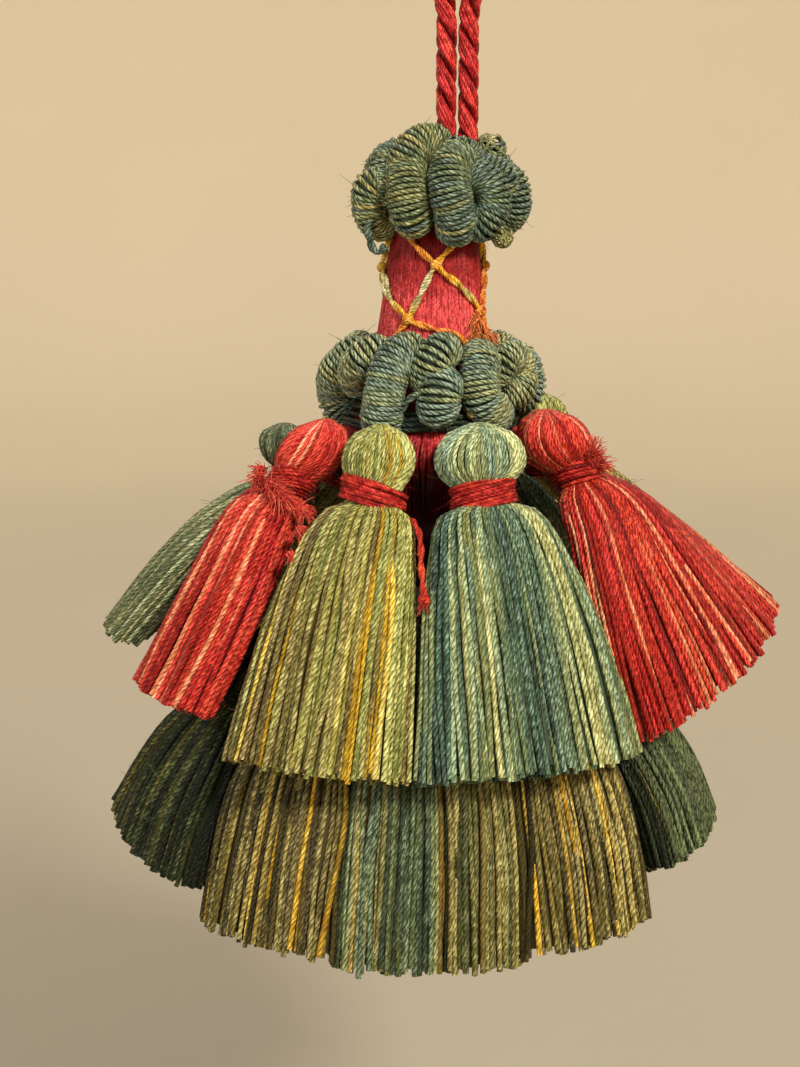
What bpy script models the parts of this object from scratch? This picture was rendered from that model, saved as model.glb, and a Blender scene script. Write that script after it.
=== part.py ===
"""A two-tier tassel on a doubled twisted cord: a floss-wrapped mould with a laced net, two
thread-wound ruffs, an upper tier of small tassels with red ties and a lower tier beneath it.

Each part is given round the tassel's own axis by a radius, an azimuth and a height. Azimuth 0
faces the front (-Y) and grows towards +X. Heights count up from a level half way down the body,
and place() drops everything so that the inside of the hanging loop is at the world origin."""

import math

import bmesh
import bpy

MM = 0.001

# the body leans a little, and the cord comes out of it off centre
LEAN = math.tan(math.radians(1.6))
CORD_X = 4.4 * MM

CORD_DIAMETER = 2.8
CORD_FOOT = 49.9
CROWN_HEIGHT = 86.4
# one leg of the doubled cord from its foot to the crown of the loop: (across, height) in mm
CORD_ROUTE = [
    (-1.58, CORD_FOOT),
    (-1.58, 58.0),
    (-1.58, 66.0),
    (-1.60, 74.0),
    (-2.10, 77.6),
    (-3.20, 80.2),
    (-3.60, 83.0),
    (-2.50, 85.4),
    (0.0, CROWN_HEIGHT),
]
CORD_STEPS = 2
MOUNT_HEIGHT = CROWN_HEIGHT - CORD_DIAMETER / 2

# (height, radius) of the wrapped mould, from its top to its foot, in mm
NECK_PROFILE = [
    (49.5, 4.0),
    (48.1, 4.7),
    (46.3, 5.2),
    (44.5, 5.8),
    (42.1, 6.5),
    (36.0, 7.1),
    (30.0, 7.9),
    (24.0, 8.6),
    (18.8, 9.2),
    (16.2, 12.2),
    (14.7, 13.1),
    (10.8, 13.1),
    (3.3, 11.0),
    (0.5, 8.6),
    (-7.0, 8.2),
]
NECK_SIDES = 24

# the laced net: knots in two rows, (azimuth in degrees, height in mm)
NET_UPPER_KNOTS = [(4, 40.2), (94, 39.6), (186, 40.4), (272, 39.4)]
NET_LOWER_KNOTS = [(-25, 32.4), (58, 33.2), (140, 32.4), (228, 33.0)]
NET_TOP = 42.2
NET_FOOT = 29.8
# how far round, in degrees, a thread runs for each mm that it climbs
NET_SLOPE = 5.6
NET_WIDTH = 1.5
NET_THICKNESS = 0.9
NET_CLEARANCE = 0.45
NET_STEPS = 4

# the ruffs are rings of lobes: (azimuth in degrees, rise, half height and reach in mm)
TOP_RUFF_HEIGHT = 50.6
TOP_RUFF_INNER = 6.0
TOP_RUFF_SHIFT = 0.8
TOP_RUFF_LOBES = [
    (8, 0.6, 9.0, 6.4),
    (44, -1.4, 7.0, 6.0),
    (80, -0.8, 6.8, 6.4),
    (120, 0.4, 8.0, 6.2),
    (160, 0.8, 8.4, 6.2),
    (200, 0.4, 8.2, 6.0),
    (240, 0.4, 7.8, 6.2),
    (282, -1.0, 6.6, 6.6),
    (322, 1.2, 9.0, 6.2),
]
LOWER_RUFF_HEIGHT = 23.2
LOWER_RUFF_INNER = 9.1
LOWER_RUFF_LOBES = [
    (4, 0.3, 5.9, 7.0),
    (32, 0.2, 5.8, 7.2),
    (58, 0.2, 5.8, 7.1),
    (88, 0.2, 5.6, 7.3),
    (118, 0.2, 5.8, 7.1),
    (146, 0.2, 5.8, 7.1),
    (176, 0.2, 5.8, 7.2),
    (205, 0.2, 5.8, 7.1),
    (234, 0.2, 5.8, 7.1),
    (264, 0.1, 5.6, 7.4),
    (299, 0.1, 5.7, 7.2),
    (334, 0.3, 6.0, 7.1),
]
RUFF_RING_STEPS = 40
RUFF_TUBE_STEPS = 8
RUFF_SQUARENESS = 0.8
# the share of its full size that a ruff keeps between two lobes
RUFF_DIP = 0.72

# each small tassel fills its own sector of a tier, a little apart from the next
TIER_GAP = 0.35
SKIRT_SQUARENESS = 0.72
UPPER_SIDES = 14
LOWER_SIDES = 12

# the upper tassels: (first and last azimuth in degrees, dye, hem radius, height and slant in mm)
UPPER_TIER = [
    (-121, -82, "sage", 45.0, -15.0, 0),
    (-82, -44, "red", 40.0, -20.5, 0),
    (-44, -2, "olive", 38.0, -26.0, 0),
    (-2, 46, "teal", 38.4, -26.0, 0),
    (46, 96, "red", 45.2, -16.0, 11),
    (96, 131, "olive", 44.0, -14.5, 0),
    (131, 166, "teal", 40.5, -20.0, 0),
    (166, 202, "red", 40.0, -21.0, 0),
    (202, 239, "olive", 41.0, -20.0, 0),
]
# stations down a head: (radius, height, half width, half thickness, tilt in degrees from level)
UPPER_HEAD = [
    (17.6, 17.8, 1.6, 1.4, 0),
    (17.8, 16.9, 4.0, 3.2, 2),
    (18.0, 15.3, 5.4, 4.3, 5),
    (18.2, 13.3, 6.0, 4.7, 8),
    (18.7, 11.3, 5.6, 4.4, 12),
    (19.4, 9.3, 4.4, 3.3, 20),
    (20.2, 7.1, 4.4, 3.3, 20),
]
# (way down, way out from waist to hem, half width as a share of the sector, half thickness, tilt)
UPPER_SKIRT = [
    (0.05, 0.08, 0.80, 4.0, 24),
    (0.16, 0.24, 0.92, 4.5, 30),
    (0.36, 0.48, 0.97, 4.3, 38),
    (0.62, 0.72, 1.00, 4.0, 36),
    (1.00, 1.00, 1.00, 3.7, 22),
]

# the lower tassels, in the same columns
LOWER_TIER = [
    (-97, -53, "dark_green", 41.5, -43.8, -5),
    (-53, -18, "olive", 36.5, -51.5, 0),
    (-18, 5, "green", 35.5, -53.0, 0),
    (5, 22, "moss", 35.5, -53.0, 0),
    (22, 56, "olive", 38.0, -51.0, 0),
    (56, 95, "dark_green", 41.2, -43.0, 2),
    (95, 129, "dark_green", 40.0, -44.5, 0),
    (129, 163, "olive", 38.0, -46.5, 0),
    (163, 197, "green", 37.5, -48.0, 0),
    (197, 230, "moss", 38.0, -47.0, 0),
    (230, 263, "olive", 39.5, -46.0, 0),
]
# these hang close under the upper tier, so their first stations are fixed down to its hem
LOWER_HEAD = [
    (12.2, -1.2, 2.0, 2.2, 0),
    (12.4, -4.8, 3.0, 3.4, 0),
    (13.2, -7.6, 2.7, 2.8, 12),
    (14.6, -10.0, 2.8, 2.5, 30),
    (18.4, -12.6, 4.3, 3.3, 33),
    (24.0, -17.6, 6.0, 3.8, 35),
    (27.6, -23.6, 7.2, 3.9, 32),
]
LOWER_SKIRT = [
    (0.30, 0.44, 1.00, 4.0, 26),
    (0.62, 0.76, 1.00, 4.0, 20),
    (1.00, 1.00, 1.00, 4.0, 16),
]

TIE_HEIGHT = 1.9
TIE_THICKNESS = 0.75
TIE_CLEARANCE = 0.4
# (rise, swell) of the band's section, as shares of its height and thickness
TIE_SECTION = [(0.5, 0.0), (0.4, 1.0), (-0.4, 1.0), (-0.5, 0.0)]
TIE_TAIL_DIAMETER = 1.3
# (azimuth in degrees, radius and height in mm) down the loose end
TIE_TAIL_ROUTE = [(-2.4, 23.9, 6.3), (-2.6, 26.5, 3.9), (-2.0, 28.9, 0.7), (-1.0, 31.4, -3.3)]

DYES = {
    "red": (0.58, 0.045, 0.055),
    "olive": (0.27, 0.28, 0.10),
    "teal": (0.16, 0.29, 0.22),
    "sage": (0.25, 0.30, 0.17),
    "dark_green": (0.045, 0.085, 0.065),
    "green": (0.10, 0.16, 0.10),
    "moss": (0.15, 0.18, 0.09),
    "ruff": (0.12, 0.19, 0.14),
    "net": (0.80, 0.48, 0.10),
    "cord": (0.52, 0.04, 0.05),
}


def clear_scene():
    for obj in list(bpy.data.objects):
        bpy.data.objects.remove(obj, do_unlink=True)


def dyed(name):
    """A matt yarn in one of the named dyes."""
    material = bpy.data.materials.get(name)
    if material is None:
        material = bpy.data.materials.new(name)
        material.use_nodes = True
        shader = material.node_tree.nodes["Principled BSDF"]
        shader.inputs["Base Color"].default_value = (*DYES[name], 1)
        shader.inputs["Roughness"].default_value = 0.7
        shader.inputs["Metallic"].default_value = 0
    return material


def place(radius, azimuth, height, shift=0.0):
    """World position, in metres, of a point given in mm round the body's leaning axis."""
    x = (radius * math.sin(azimuth) + LEAN * height + shift) * MM - CORD_X
    return (x, -radius * math.cos(azimuth) * MM, (height - MOUNT_HEIGHT) * MM)


def add_mesh(name, points, faces, dye):
    mesh = bpy.data.meshes.new(name)
    mesh.from_pydata(points, [], faces)
    work = bmesh.new()
    work.from_mesh(mesh)
    bmesh.ops.recalc_face_normals(work, faces=work.faces)
    work.to_mesh(mesh)
    work.free()
    mesh.shade_smooth()
    obj = bpy.data.objects.new(name, mesh)
    bpy.context.collection.objects.link(obj)
    obj.data.materials.append(dyed(dye))
    return obj


def bridged(low, high, count):
    """Quads between two rings of count points, which start at numbers low and high."""
    steps = [(i, (i + 1) % count) for i in range(count)]
    return [(low + i, low + j, high + j, high + i) for i, j in steps]


def lofted(sections):
    """Points and faces through rings of equal length, capped with a fan at each end."""
    count = len(sections[0])
    points = [p for section in sections for p in section]
    faces = []
    for row in range(len(sections) - 1):
        faces += bridged(row * count, (row + 1) * count, count)
    for row in (0, len(sections) - 1):
        centre = len(points)
        ring = sections[row]
        points.append(tuple(sum(p[axis] for p in ring) / count for axis in range(3)))
        for i in range(count):
            faces.append((row * count + i, row * count + (i + 1) % count, centre))
    return points, faces


def lofted_ring(sections):
    """Points and faces through rings of equal length, the last joined to the first."""
    count = len(sections[0])
    points = [p for section in sections for p in section]
    faces = []
    for row in range(len(sections)):
        faces += bridged(row * count, (row + 1) % len(sections) * count, count)
    return points, faces


def rounded(angle, squareness):
    """Cosine and sine pulled towards a square with rounded corners."""
    c, s = math.cos(angle), math.sin(angle)
    return (
        math.copysign(abs(c) ** squareness, c),
        math.copysign(abs(s) ** squareness, s),
    )


def wedge_section(
    sides, azimuth, radius, height, half_width, half_thick, tilt, square, slant, grow=0.0
):
    """One ring of a small tassel. Its width bends round the tier, so that neighbours never meet."""
    ring = []
    for step in range(sides):
        c, s = rounded(2 * math.pi * step / sides, square)
        out = s * (half_thick + grow)
        r = radius + out * math.cos(tilt) + c * slant / 2
        z = height + out * math.sin(tilt) + c * slant / 2
        ring.append(place(r, azimuth + c * (half_width + grow) / radius, z))
    return ring


def tassel_stations(head, skirt, tier_row):
    """Head stations, then skirt stations from the waist to the hem, as (radius, height,
    half width, half thickness, tilt, squareness, slant), in mm and radians."""
    first, last, _, hem_radius, hem_height, hem_slant = tier_row
    half_sector = math.radians(last - first) / 2

    def widest(radius):
        return radius * half_sector - TIER_GAP / 2

    stations = []
    for radius, height, width, thick, tilt in head:
        width = min(width, widest(radius))
        stations.append((radius, height, width, thick, math.radians(tilt), 1.0, 0.0))
    waist_radius, waist_height = head[-1][:2]
    for down, out, share, thick, tilt in skirt:
        radius = waist_radius + out * (hem_radius - waist_radius)
        height = waist_height + down * (hem_height - waist_height)
        width = share * widest(radius)
        shape = (thick, math.radians(tilt), SKIRT_SQUARENESS, hem_slant * down)
        stations.append((radius, height, width, *shape))
    return stations


def add_small_tassel(name, tier_row, stations, sides):
    centre = math.radians(tier_row[0] + tier_row[1]) / 2
    sections = [wedge_section(sides, centre, *station) for station in stations]
    add_mesh(name, *lofted(sections), tier_row[2])


def add_tie(name, tier_row, waist_top, waist_foot):
    """The red thread wound round a waist, as a band that clears it all round."""
    centre = math.radians(tier_row[0] + tier_row[1]) / 2
    middle = [(a + b) / 2 for a, b in zip(waist_top, waist_foot)]
    radius, height, width, thick, tilt, square, slant = middle
    rings = []
    for rise, swell in TIE_SECTION:
        up = rise * TIE_HEIGHT
        r = radius - up * math.sin(tilt)
        z = height + up * math.cos(tilt)
        grow = TIE_CLEARANCE + swell * TIE_THICKNESS
        rings.append(
            wedge_section(
                UPPER_SIDES, centre, r, z, width, thick, tilt, square, slant, grow=grow
            )
        )
    add_mesh(name, *lofted_ring(rings), "red")


def add_neck():
    turns = [2 * math.pi * i / NECK_SIDES for i in range(NECK_SIDES)]
    sections = [[place(radius, turn, height) for turn in turns] for height, radius in NECK_PROFILE]
    add_mesh("neck", *lofted(sections), "red")


def neck_radius(height):
    for (top, r_top), (foot, r_foot) in zip(NECK_PROFILE, NECK_PROFILE[1:]):
        if foot <= height <= top:
            return r_foot + (r_top - r_foot) * (height - foot) / (top - foot)
    return NECK_PROFILE[-1][1]


def net_knot(outline, azimuth, height):
    """A small diamond of four corners, added to the outline. Returns their numbers by name."""
    half = NET_WIDTH / 2
    spread = math.degrees(half / neck_radius(height))
    corners = {
        "top": (azimuth, height + half),
        "right": (azimuth + spread, height),
        "foot": (azimuth, height - half),
        "left": (azimuth - spread, height),
    }
    first = len(outline)
    outline.extend(corners.values())
    return {name: first + i for i, name in enumerate(corners)}


def net_loose_ends(azimuth, height, end_height, turn):
    """The two end points of a thread that runs on from a knot to the edge of the net."""
    half = NET_WIDTH / 2
    away = azimuth + turn * NET_SLOPE * abs(end_height - height)
    spread = turn * math.degrees(half / neck_radius(height))
    inwards = half if end_height < height else -half
    return [(away, end_height), (away + spread, end_height + inwards)]


def net_thread(outline, quads, start, end):
    """Quads from the pair of corners start to the pair end: two corners, or two loose points."""
    joined = isinstance(end[0], int)
    targets = [outline[i] for i in end] if joined else end
    previous = start
    for step in range(1, NET_STEPS + 1):
        if joined and step == NET_STEPS:
            pair = end
        else:
            pair = (len(outline), len(outline) + 1)
            for corner, target in zip(start, targets):
                azimuth, height = outline[corner]
                round_by = (target[0] - azimuth + 180) % 360 - 180
                share = step / NET_STEPS
                rise = target[1] - height
                outline.append((azimuth + share * round_by, height + share * rise))
        quads.append((previous[0], previous[1], pair[1], pair[0]))
        previous = pair


def net_layout():
    """The open net laid flat, as points (azimuth, height) and the quads between them."""
    outline, quads = [], []
    upper = [net_knot(outline, *knot) for knot in NET_UPPER_KNOTS]
    lower = [net_knot(outline, *knot) for knot in NET_LOWER_KNOTS]
    for knot in upper + lower:
        quads.append((knot["top"], knot["left"], knot["foot"], knot["right"]))
    for i, high in enumerate(upper):
        left, right = lower[i], lower[(i + 1) % len(lower)]
        net_thread(outline, quads, (high["left"], high["foot"]), (left["top"], left["right"]))
        net_thread(outline, quads, (high["foot"], high["right"]), (right["left"], right["top"]))
        for side, turn in (("left", -1), ("right", 1)):
            ends = net_loose_ends(*NET_UPPER_KNOTS[i], NET_TOP, turn)
            net_thread(outline, quads, (high["top"], high[side]), ends)
            ends = net_loose_ends(*NET_LOWER_KNOTS[i], NET_FOOT, turn)
            net_thread(outline, quads, (left["foot"], left[side]), ends)
    return outline, quads


def add_netting():
    """The flat layout wrapped round the neck, as an inner and an outer skin with joined edges."""
    outline, quads = net_layout()
    points = []
    for lift in (NET_CLEARANCE, NET_CLEARANCE + NET_THICKNESS):
        points += [place(neck_radius(z) + lift, math.radians(a), z) for a, z in outline]
    base = len(outline)
    faces = []
    edge_uses = {}
    for quad in quads:
        faces.append(quad)
        faces.append(tuple(base + i for i in reversed(quad)))
        for a, b in zip(quad, quad[1:] + quad[:1]):
            edge = (min(a, b), max(a, b))
            edge_uses[edge] = edge_uses.get(edge, 0) + 1
    for (a, b), uses in edge_uses.items():
        if uses == 1:
            faces.append((a, b, base + b, base + a))
    add_mesh("netting", points, faces, "net")


def angle_between(a, b):
    return abs((a - b + math.pi) % (2 * math.pi) - math.pi)


def ruff_section(azimuth, height, inner, shift, lobes):
    """A ring of points round the ruff's tube, between its two nearest lobes."""
    away = sorted((angle_between(azimuth, math.radians(lobe[0])), lobe) for lobe in lobes)
    (near, first), (far, second) = away[:2]
    share = far / (near + far)
    rise, tall, reach = (share * first[k] + (1 - share) * second[k] for k in (1, 2, 3))
    crown = math.sqrt(1 - (2 * (1 - share)) ** 2)
    size = RUFF_DIP + (1 - RUFF_DIP) * crown
    ring = []
    for turn in range(RUFF_TUBE_STEPS):
        c, s = rounded(2 * math.pi * turn / RUFF_TUBE_STEPS, RUFF_SQUARENESS)
        radius = inner + size * reach * (1 + c) / 2
        ring.append(place(radius, azimuth, height + rise + size * tall * s, shift))
    return ring


def add_ruff(name, height, inner, shift, lobes):
    """A ring round the neck whose section swells at each lobe and draws in between them."""
    azimuths = [2 * math.pi * step / RUFF_RING_STEPS for step in range(RUFF_RING_STEPS)]
    rings = [ruff_section(azimuth, height, inner, shift, lobes) for azimuth in azimuths]
    add_mesh(name, *lofted_ring(rings), "ruff")


def add_tube(name, points, diameter, dye):
    """A round cord along the points, with closed ends."""
    curve = bpy.data.curves.new(name, "CURVE")
    curve.dimensions = "3D"
    curve.bevel_depth = diameter / 2 * MM
    curve.bevel_resolution = 2
    curve.use_fill_caps = True
    spline = curve.splines.new("POLY")
    spline.points.add(len(points) - 1)
    for target, point in zip(spline.points, points):
        target.co = (*point, 1)
    obj = bpy.data.objects.new(name, curve)
    bpy.context.collection.objects.link(obj)
    curve.materials.append(dyed(dye))
    return obj


def smooth_through(route, steps):
    """Points on a smooth curve through every point of the route, steps to each span."""
    last = len(route) - 1
    points = []
    for i in range(last):
        before, here = route[max(i - 1, 0)], route[i]
        after, beyond = route[i + 1], route[min(i + 2, last)]
        for step in range(steps):
            t = step / steps
            points.append(
                tuple(
                    b
                    + t * (c - a) / 2
                    + t * t * (2 * a - 5 * b + 4 * c - d) / 2
                    + t * t * t * (3 * b - a - 3 * c + d) / 2
                    for a, b, c, d in zip(before, here, after, beyond)
                )
            )
    return points + [route[-1]]


def hanging_cord_points():
    """Up one leg, over the crown of the loop and down the other, in the plane of the front."""
    route = CORD_ROUTE + [(-across, height) for across, height in reversed(CORD_ROUTE[:-1])]
    flat = smooth_through(route, CORD_STEPS)
    return [(across * MM, 0.0, (height - MOUNT_HEIGHT) * MM) for across, height in flat]


def main():
    clear_scene()
    add_tube("hanging_cord", hanging_cord_points(), CORD_DIAMETER, "cord")
    add_neck()
    add_netting()
    add_ruff("top_ruff", TOP_RUFF_HEIGHT, TOP_RUFF_INNER, TOP_RUFF_SHIFT, TOP_RUFF_LOBES)
    add_ruff("lower_ruff", LOWER_RUFF_HEIGHT, LOWER_RUFF_INNER, 0.0, LOWER_RUFF_LOBES)
    for number, row in enumerate(UPPER_TIER, 1):
        stations = tassel_stations(UPPER_HEAD, UPPER_SKIRT, row)
        waist = stations[len(UPPER_HEAD) - 2 : len(UPPER_HEAD)]
        add_small_tassel(f"upper_tassel_{number}", row, stations, UPPER_SIDES)
        add_tie(f"upper_tie_{number}", row, *waist)
    for number, row in enumerate(LOWER_TIER, 1):
        stations = tassel_stations(LOWER_HEAD, LOWER_SKIRT, row)
        add_small_tassel(f"lower_tassel_{number}", row, stations, LOWER_SIDES)
    tail = [place(radius, math.radians(a), z) for a, radius, z in TIE_TAIL_ROUTE]
    add_tube("tie_tail", tail, TIE_TAIL_DIAMETER, "red")


main()
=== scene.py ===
"""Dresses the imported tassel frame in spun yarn: a twisted hanging cord, thread-wound ruffs, a floss neck with
its net, two tiers of tied small tassels, and a pale stage."""

import math
from collections import namedtuple

import bpy
import numpy as np
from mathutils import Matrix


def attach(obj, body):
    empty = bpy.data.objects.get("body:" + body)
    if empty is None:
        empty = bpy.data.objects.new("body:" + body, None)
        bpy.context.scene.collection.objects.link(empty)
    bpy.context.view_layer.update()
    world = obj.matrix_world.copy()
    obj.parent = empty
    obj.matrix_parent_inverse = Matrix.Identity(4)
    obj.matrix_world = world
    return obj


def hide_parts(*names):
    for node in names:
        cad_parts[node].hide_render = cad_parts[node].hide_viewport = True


bl_info = {
    "name": "Yarn tassel",
    "version": (1, 0, 0),
    "blender": (4, 5, 0),
    "location": "3D View > Sidebar > Tassel",
    "description": "Builds a two-tier yarn tassel strand by strand",
    "category": "Add Mesh",
}

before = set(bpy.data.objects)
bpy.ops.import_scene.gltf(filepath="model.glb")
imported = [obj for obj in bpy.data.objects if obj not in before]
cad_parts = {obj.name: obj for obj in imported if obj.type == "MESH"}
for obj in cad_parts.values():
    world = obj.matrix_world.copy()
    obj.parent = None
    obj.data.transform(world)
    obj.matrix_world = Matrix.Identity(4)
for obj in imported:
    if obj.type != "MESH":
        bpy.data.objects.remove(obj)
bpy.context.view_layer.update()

MM = 0.001
BODY = "root"

# ------------------------ the camera and the stage, in metres
FLOOR_HEIGHT = -0.235
CAMERA_DISTANCE = 0.240
CAMERA_RAISED = math.radians(10)
CAMERA_AIM = (-0.0082, -0.0850)  # across, height
CAMERA_LENS = 54
BACKDROP_SIDES = 64
BACKDROP_PROFILE = [  # radius, height
    (0.0, 0.0),
    (0.9, 0.0),
    (1.15, 0.03),
    (1.32, 0.12),
    (1.41, 0.29),
    (1.44, 0.55),
    (1.45, 0.86),
]
LAMP_AIM = np.array([-0.004, 0, -0.07])
STUDIO_GLOW = 0.66

# ------------------------ the frame's own sizes, in mm and degrees
LEAN = math.tan(math.radians(1.6))
CORD_X = 4.4
CORD_DIAMETER = 2.8
CORD_FOOT = 49.9
CROWN_HEIGHT = 86.4
MOUNT_HEIGHT = CROWN_HEIGHT - CORD_DIAMETER / 2
CORD_ROUTE = [  # across, height
    (-1.58, CORD_FOOT),
    (-1.58, 58.0),
    (-1.58, 66.0),
    (-1.60, 74.0),
    (-2.10, 77.6),
    (-3.20, 80.2),
    (-3.60, 83.0),
    (-2.50, 85.4),
    (0.0, CROWN_HEIGHT),
]
NECK_PROFILE = [  # height, radius
    (49.5, 4.0),
    (48.1, 4.7),
    (46.3, 5.2),
    (44.5, 5.8),
    (42.1, 6.5),
    (36.0, 7.1),
    (30.0, 7.9),
    (24.0, 8.6),
    (18.8, 9.2),
    (16.2, 12.2),
    (14.7, 13.1),
    (10.8, 13.1),
    (3.3, 11.0),
    (0.5, 8.6),
    (-7.0, 8.2),
]
TOP_RUFF_HEIGHT = 50.6
TOP_RUFF_SHIFT = 0.8
LOWER_RUFF_HEIGHT = 23.2
TIER_GAP = 0.35  # between neighbouring tassels
MINGLE = 0.8  # how far a lower tassel's hem reaches in among its neighbours' strands
SKIRT_SQUARENESS = 0.72  # 1 is an oval, and less is boxier
UPPER_TIER = [  # first azimuth, last azimuth, dye, hem radius, hem height, hem slant
    (-121, -82, "sage", 45.0, -15.0, 0),
    (-82, -44, "red", 40.0, -20.5, 0),
    (-44, -2, "olive", 38.0, -26.0, 0),
    (-2, 46, "teal", 38.4, -26.0, 0),
    (46, 96, "red", 45.2, -18.2, 14.6),
    (96, 131, "olive", 44.0, -14.5, 0),
    (131, 166, "teal", 40.5, -20.0, 0),
    (166, 202, "red", 40.0, -21.0, 0),
    (202, 239, "olive", 41.0, -20.0, 0),
]
UPPER_HEAD = [  # radius, height, half width, half thickness, tilt; the last two are the waist
    (17.6, 17.8, 1.6, 1.4, 0),
    (17.8, 16.9, 4.0, 3.2, 2),
    (18.0, 15.3, 5.4, 4.3, 5),
    (18.2, 13.3, 6.0, 4.7, 8),
    (18.7, 11.3, 5.6, 4.4, 12),
    (19.4, 9.3, 4.0, 3.0, 20),
    (20.2, 7.1, 4.0, 3.0, 20),
]
TIE_SLANTS = [0.6, 0.9, -1.3, 0.8, -0.9, 0.4, -0.5, 0.3, -0.4]  # mm down or up at a tie's right end
# By first azimuth: how full the head is, and how far its top is raised.
HEAD_SIZES = {-121: (1.0, -1.8), -44: (0.90, 0.0), -2: (1.10, 0.2), 46: (1.14, 1.0), 96: (1.0, 2.6)}
# By first azimuth: how far the hem swings round, how much it widens, and how far it is raised.
SPREAD_HEMS = {-82: (-2.4, -0.10, 0.0), -2: (1.8, 0.07, 0.0), 96: (-1.5, 0.0, 3.0)}
# By first azimuth: how far the tie swings round, out and up.
BENT_HEADS = {-82: (-5.0, 2.0, 0.5), 46: (6.0, 2.2, 1.5), 96: (-2.0, 0.0, 2.4)}
# By first azimuth: how far the crown of the head swings round and out.
CROWNS = {-121: (6.0, 4.0), -82: (5.0, 0.0)}
UPPER_SKIRT = [  # way down, way out, half width as a share of the sector, half thickness, tilt
    (0.05, 0.08, 0.84, 4.0, 24),
    (0.16, 0.24, 0.92, 4.5, 30),
    (0.36, 0.48, 0.97, 4.3, 38),
    (0.62, 0.72, 1.00, 4.0, 36),
    (1.00, 1.00, 1.00, 3.7, 22),
]
LOWER_TIER = [
    (-97, -53, "dark_green", 41.5, -43.8, -5),
    (-53, -18, "brown_olive", 36.5, -51.5, 0),
    (-18, 5, "green", 35.5, -53.0, 0),
    (5, 22, "moss", 35.5, -53.0, 0),
    (22, 56, "brown_olive", 38.0, -51.0, 0),
    (56, 95, "dark_green", 41.2, -43.0, 2),
    (95, 129, "dark_green", 40.0, -44.5, 0),
    (129, 163, "brown_olive", 38.0, -46.5, 0),
    (163, 197, "green", 37.5, -48.0, 0),
    (197, 230, "moss", 38.0, -47.0, 0),
    (230, 263, "brown_olive", 39.5, -46.0, 0),
]
LOWER_HEAD = [
    (12.2, -1.2, 2.0, 2.2, 0),
    (12.4, -4.8, 3.0, 3.4, 0),
    (13.2, -7.6, 2.7, 2.8, 12),
    (14.6, -10.0, 2.8, 2.5, 30),
    (18.4, -12.6, 4.3, 3.3, 33),
    (24.0, -17.6, 6.0, 3.8, 35),
    (27.6, -23.6, 7.2, 3.9, 32),
]
LOWER_SKIRT = [
    (0.30, 0.44, 1.00, 4.0, 26),
    (0.62, 0.76, 1.00, 4.0, 20),
    (1.00, 1.00, 1.00, 4.0, 16),
]
TIE_WINDINGS = [  # turns, half thickness, height off the strands, then start and end as shares of the waist
    (6.4, 0.34, 0.16, -0.30, 1.14),
    (8.3, 0.26, 0.52, -0.38, 1.22),
]
TIE_TUFTS = [  # azimuth, radius, height, heading, length, fibres, spread
    (-76.0, 24.6, 10.2, (-0.9, -0.3, 0.4), 2.4, 70, 0.40),
    (-66.0, 26.4, 9.6, (0.2, -0.9, 0.3), 2.6, 170, 0.45),
    (-60.0, 26.0, 9.2, (0.8, -0.6, -0.1), 3.6, 230, 0.36),
    (-55.0, 25.6, 8.0, (0.8, -0.5, -0.6), 3.0, 150, 0.40),
    (-44.5, 24.6, 6.6, (0.7, -0.5, -0.4), 1.9, 90, 0.45),
    (-41.5, 26.8, 4.2, (0.6, -0.4, -0.7), 1.9, 90, 0.45),
    (-40.0, 29.2, 1.2, (0.5, -0.3, -0.8), 1.8, 80, 0.45),
    (71.0, 24.2, 11.6, (0.20, -0.2, 1.0), 4.6, 260, 0.26),
    (77.0, 24.8, 10.8, (0.7, -0.3, 0.6), 2.9, 150, 0.40),
]
TIE_TAIL_ROUTE = [  # azimuth, radius, height
    (-9.5, 21.6, 6.0),
    (-5.0, 23.6, 5.6),
    (-2.6, 26.3, 3.9),
    (-2.0, 28.9, 0.7),
    (-1.0, 31.4, -3.3),
]

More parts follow.
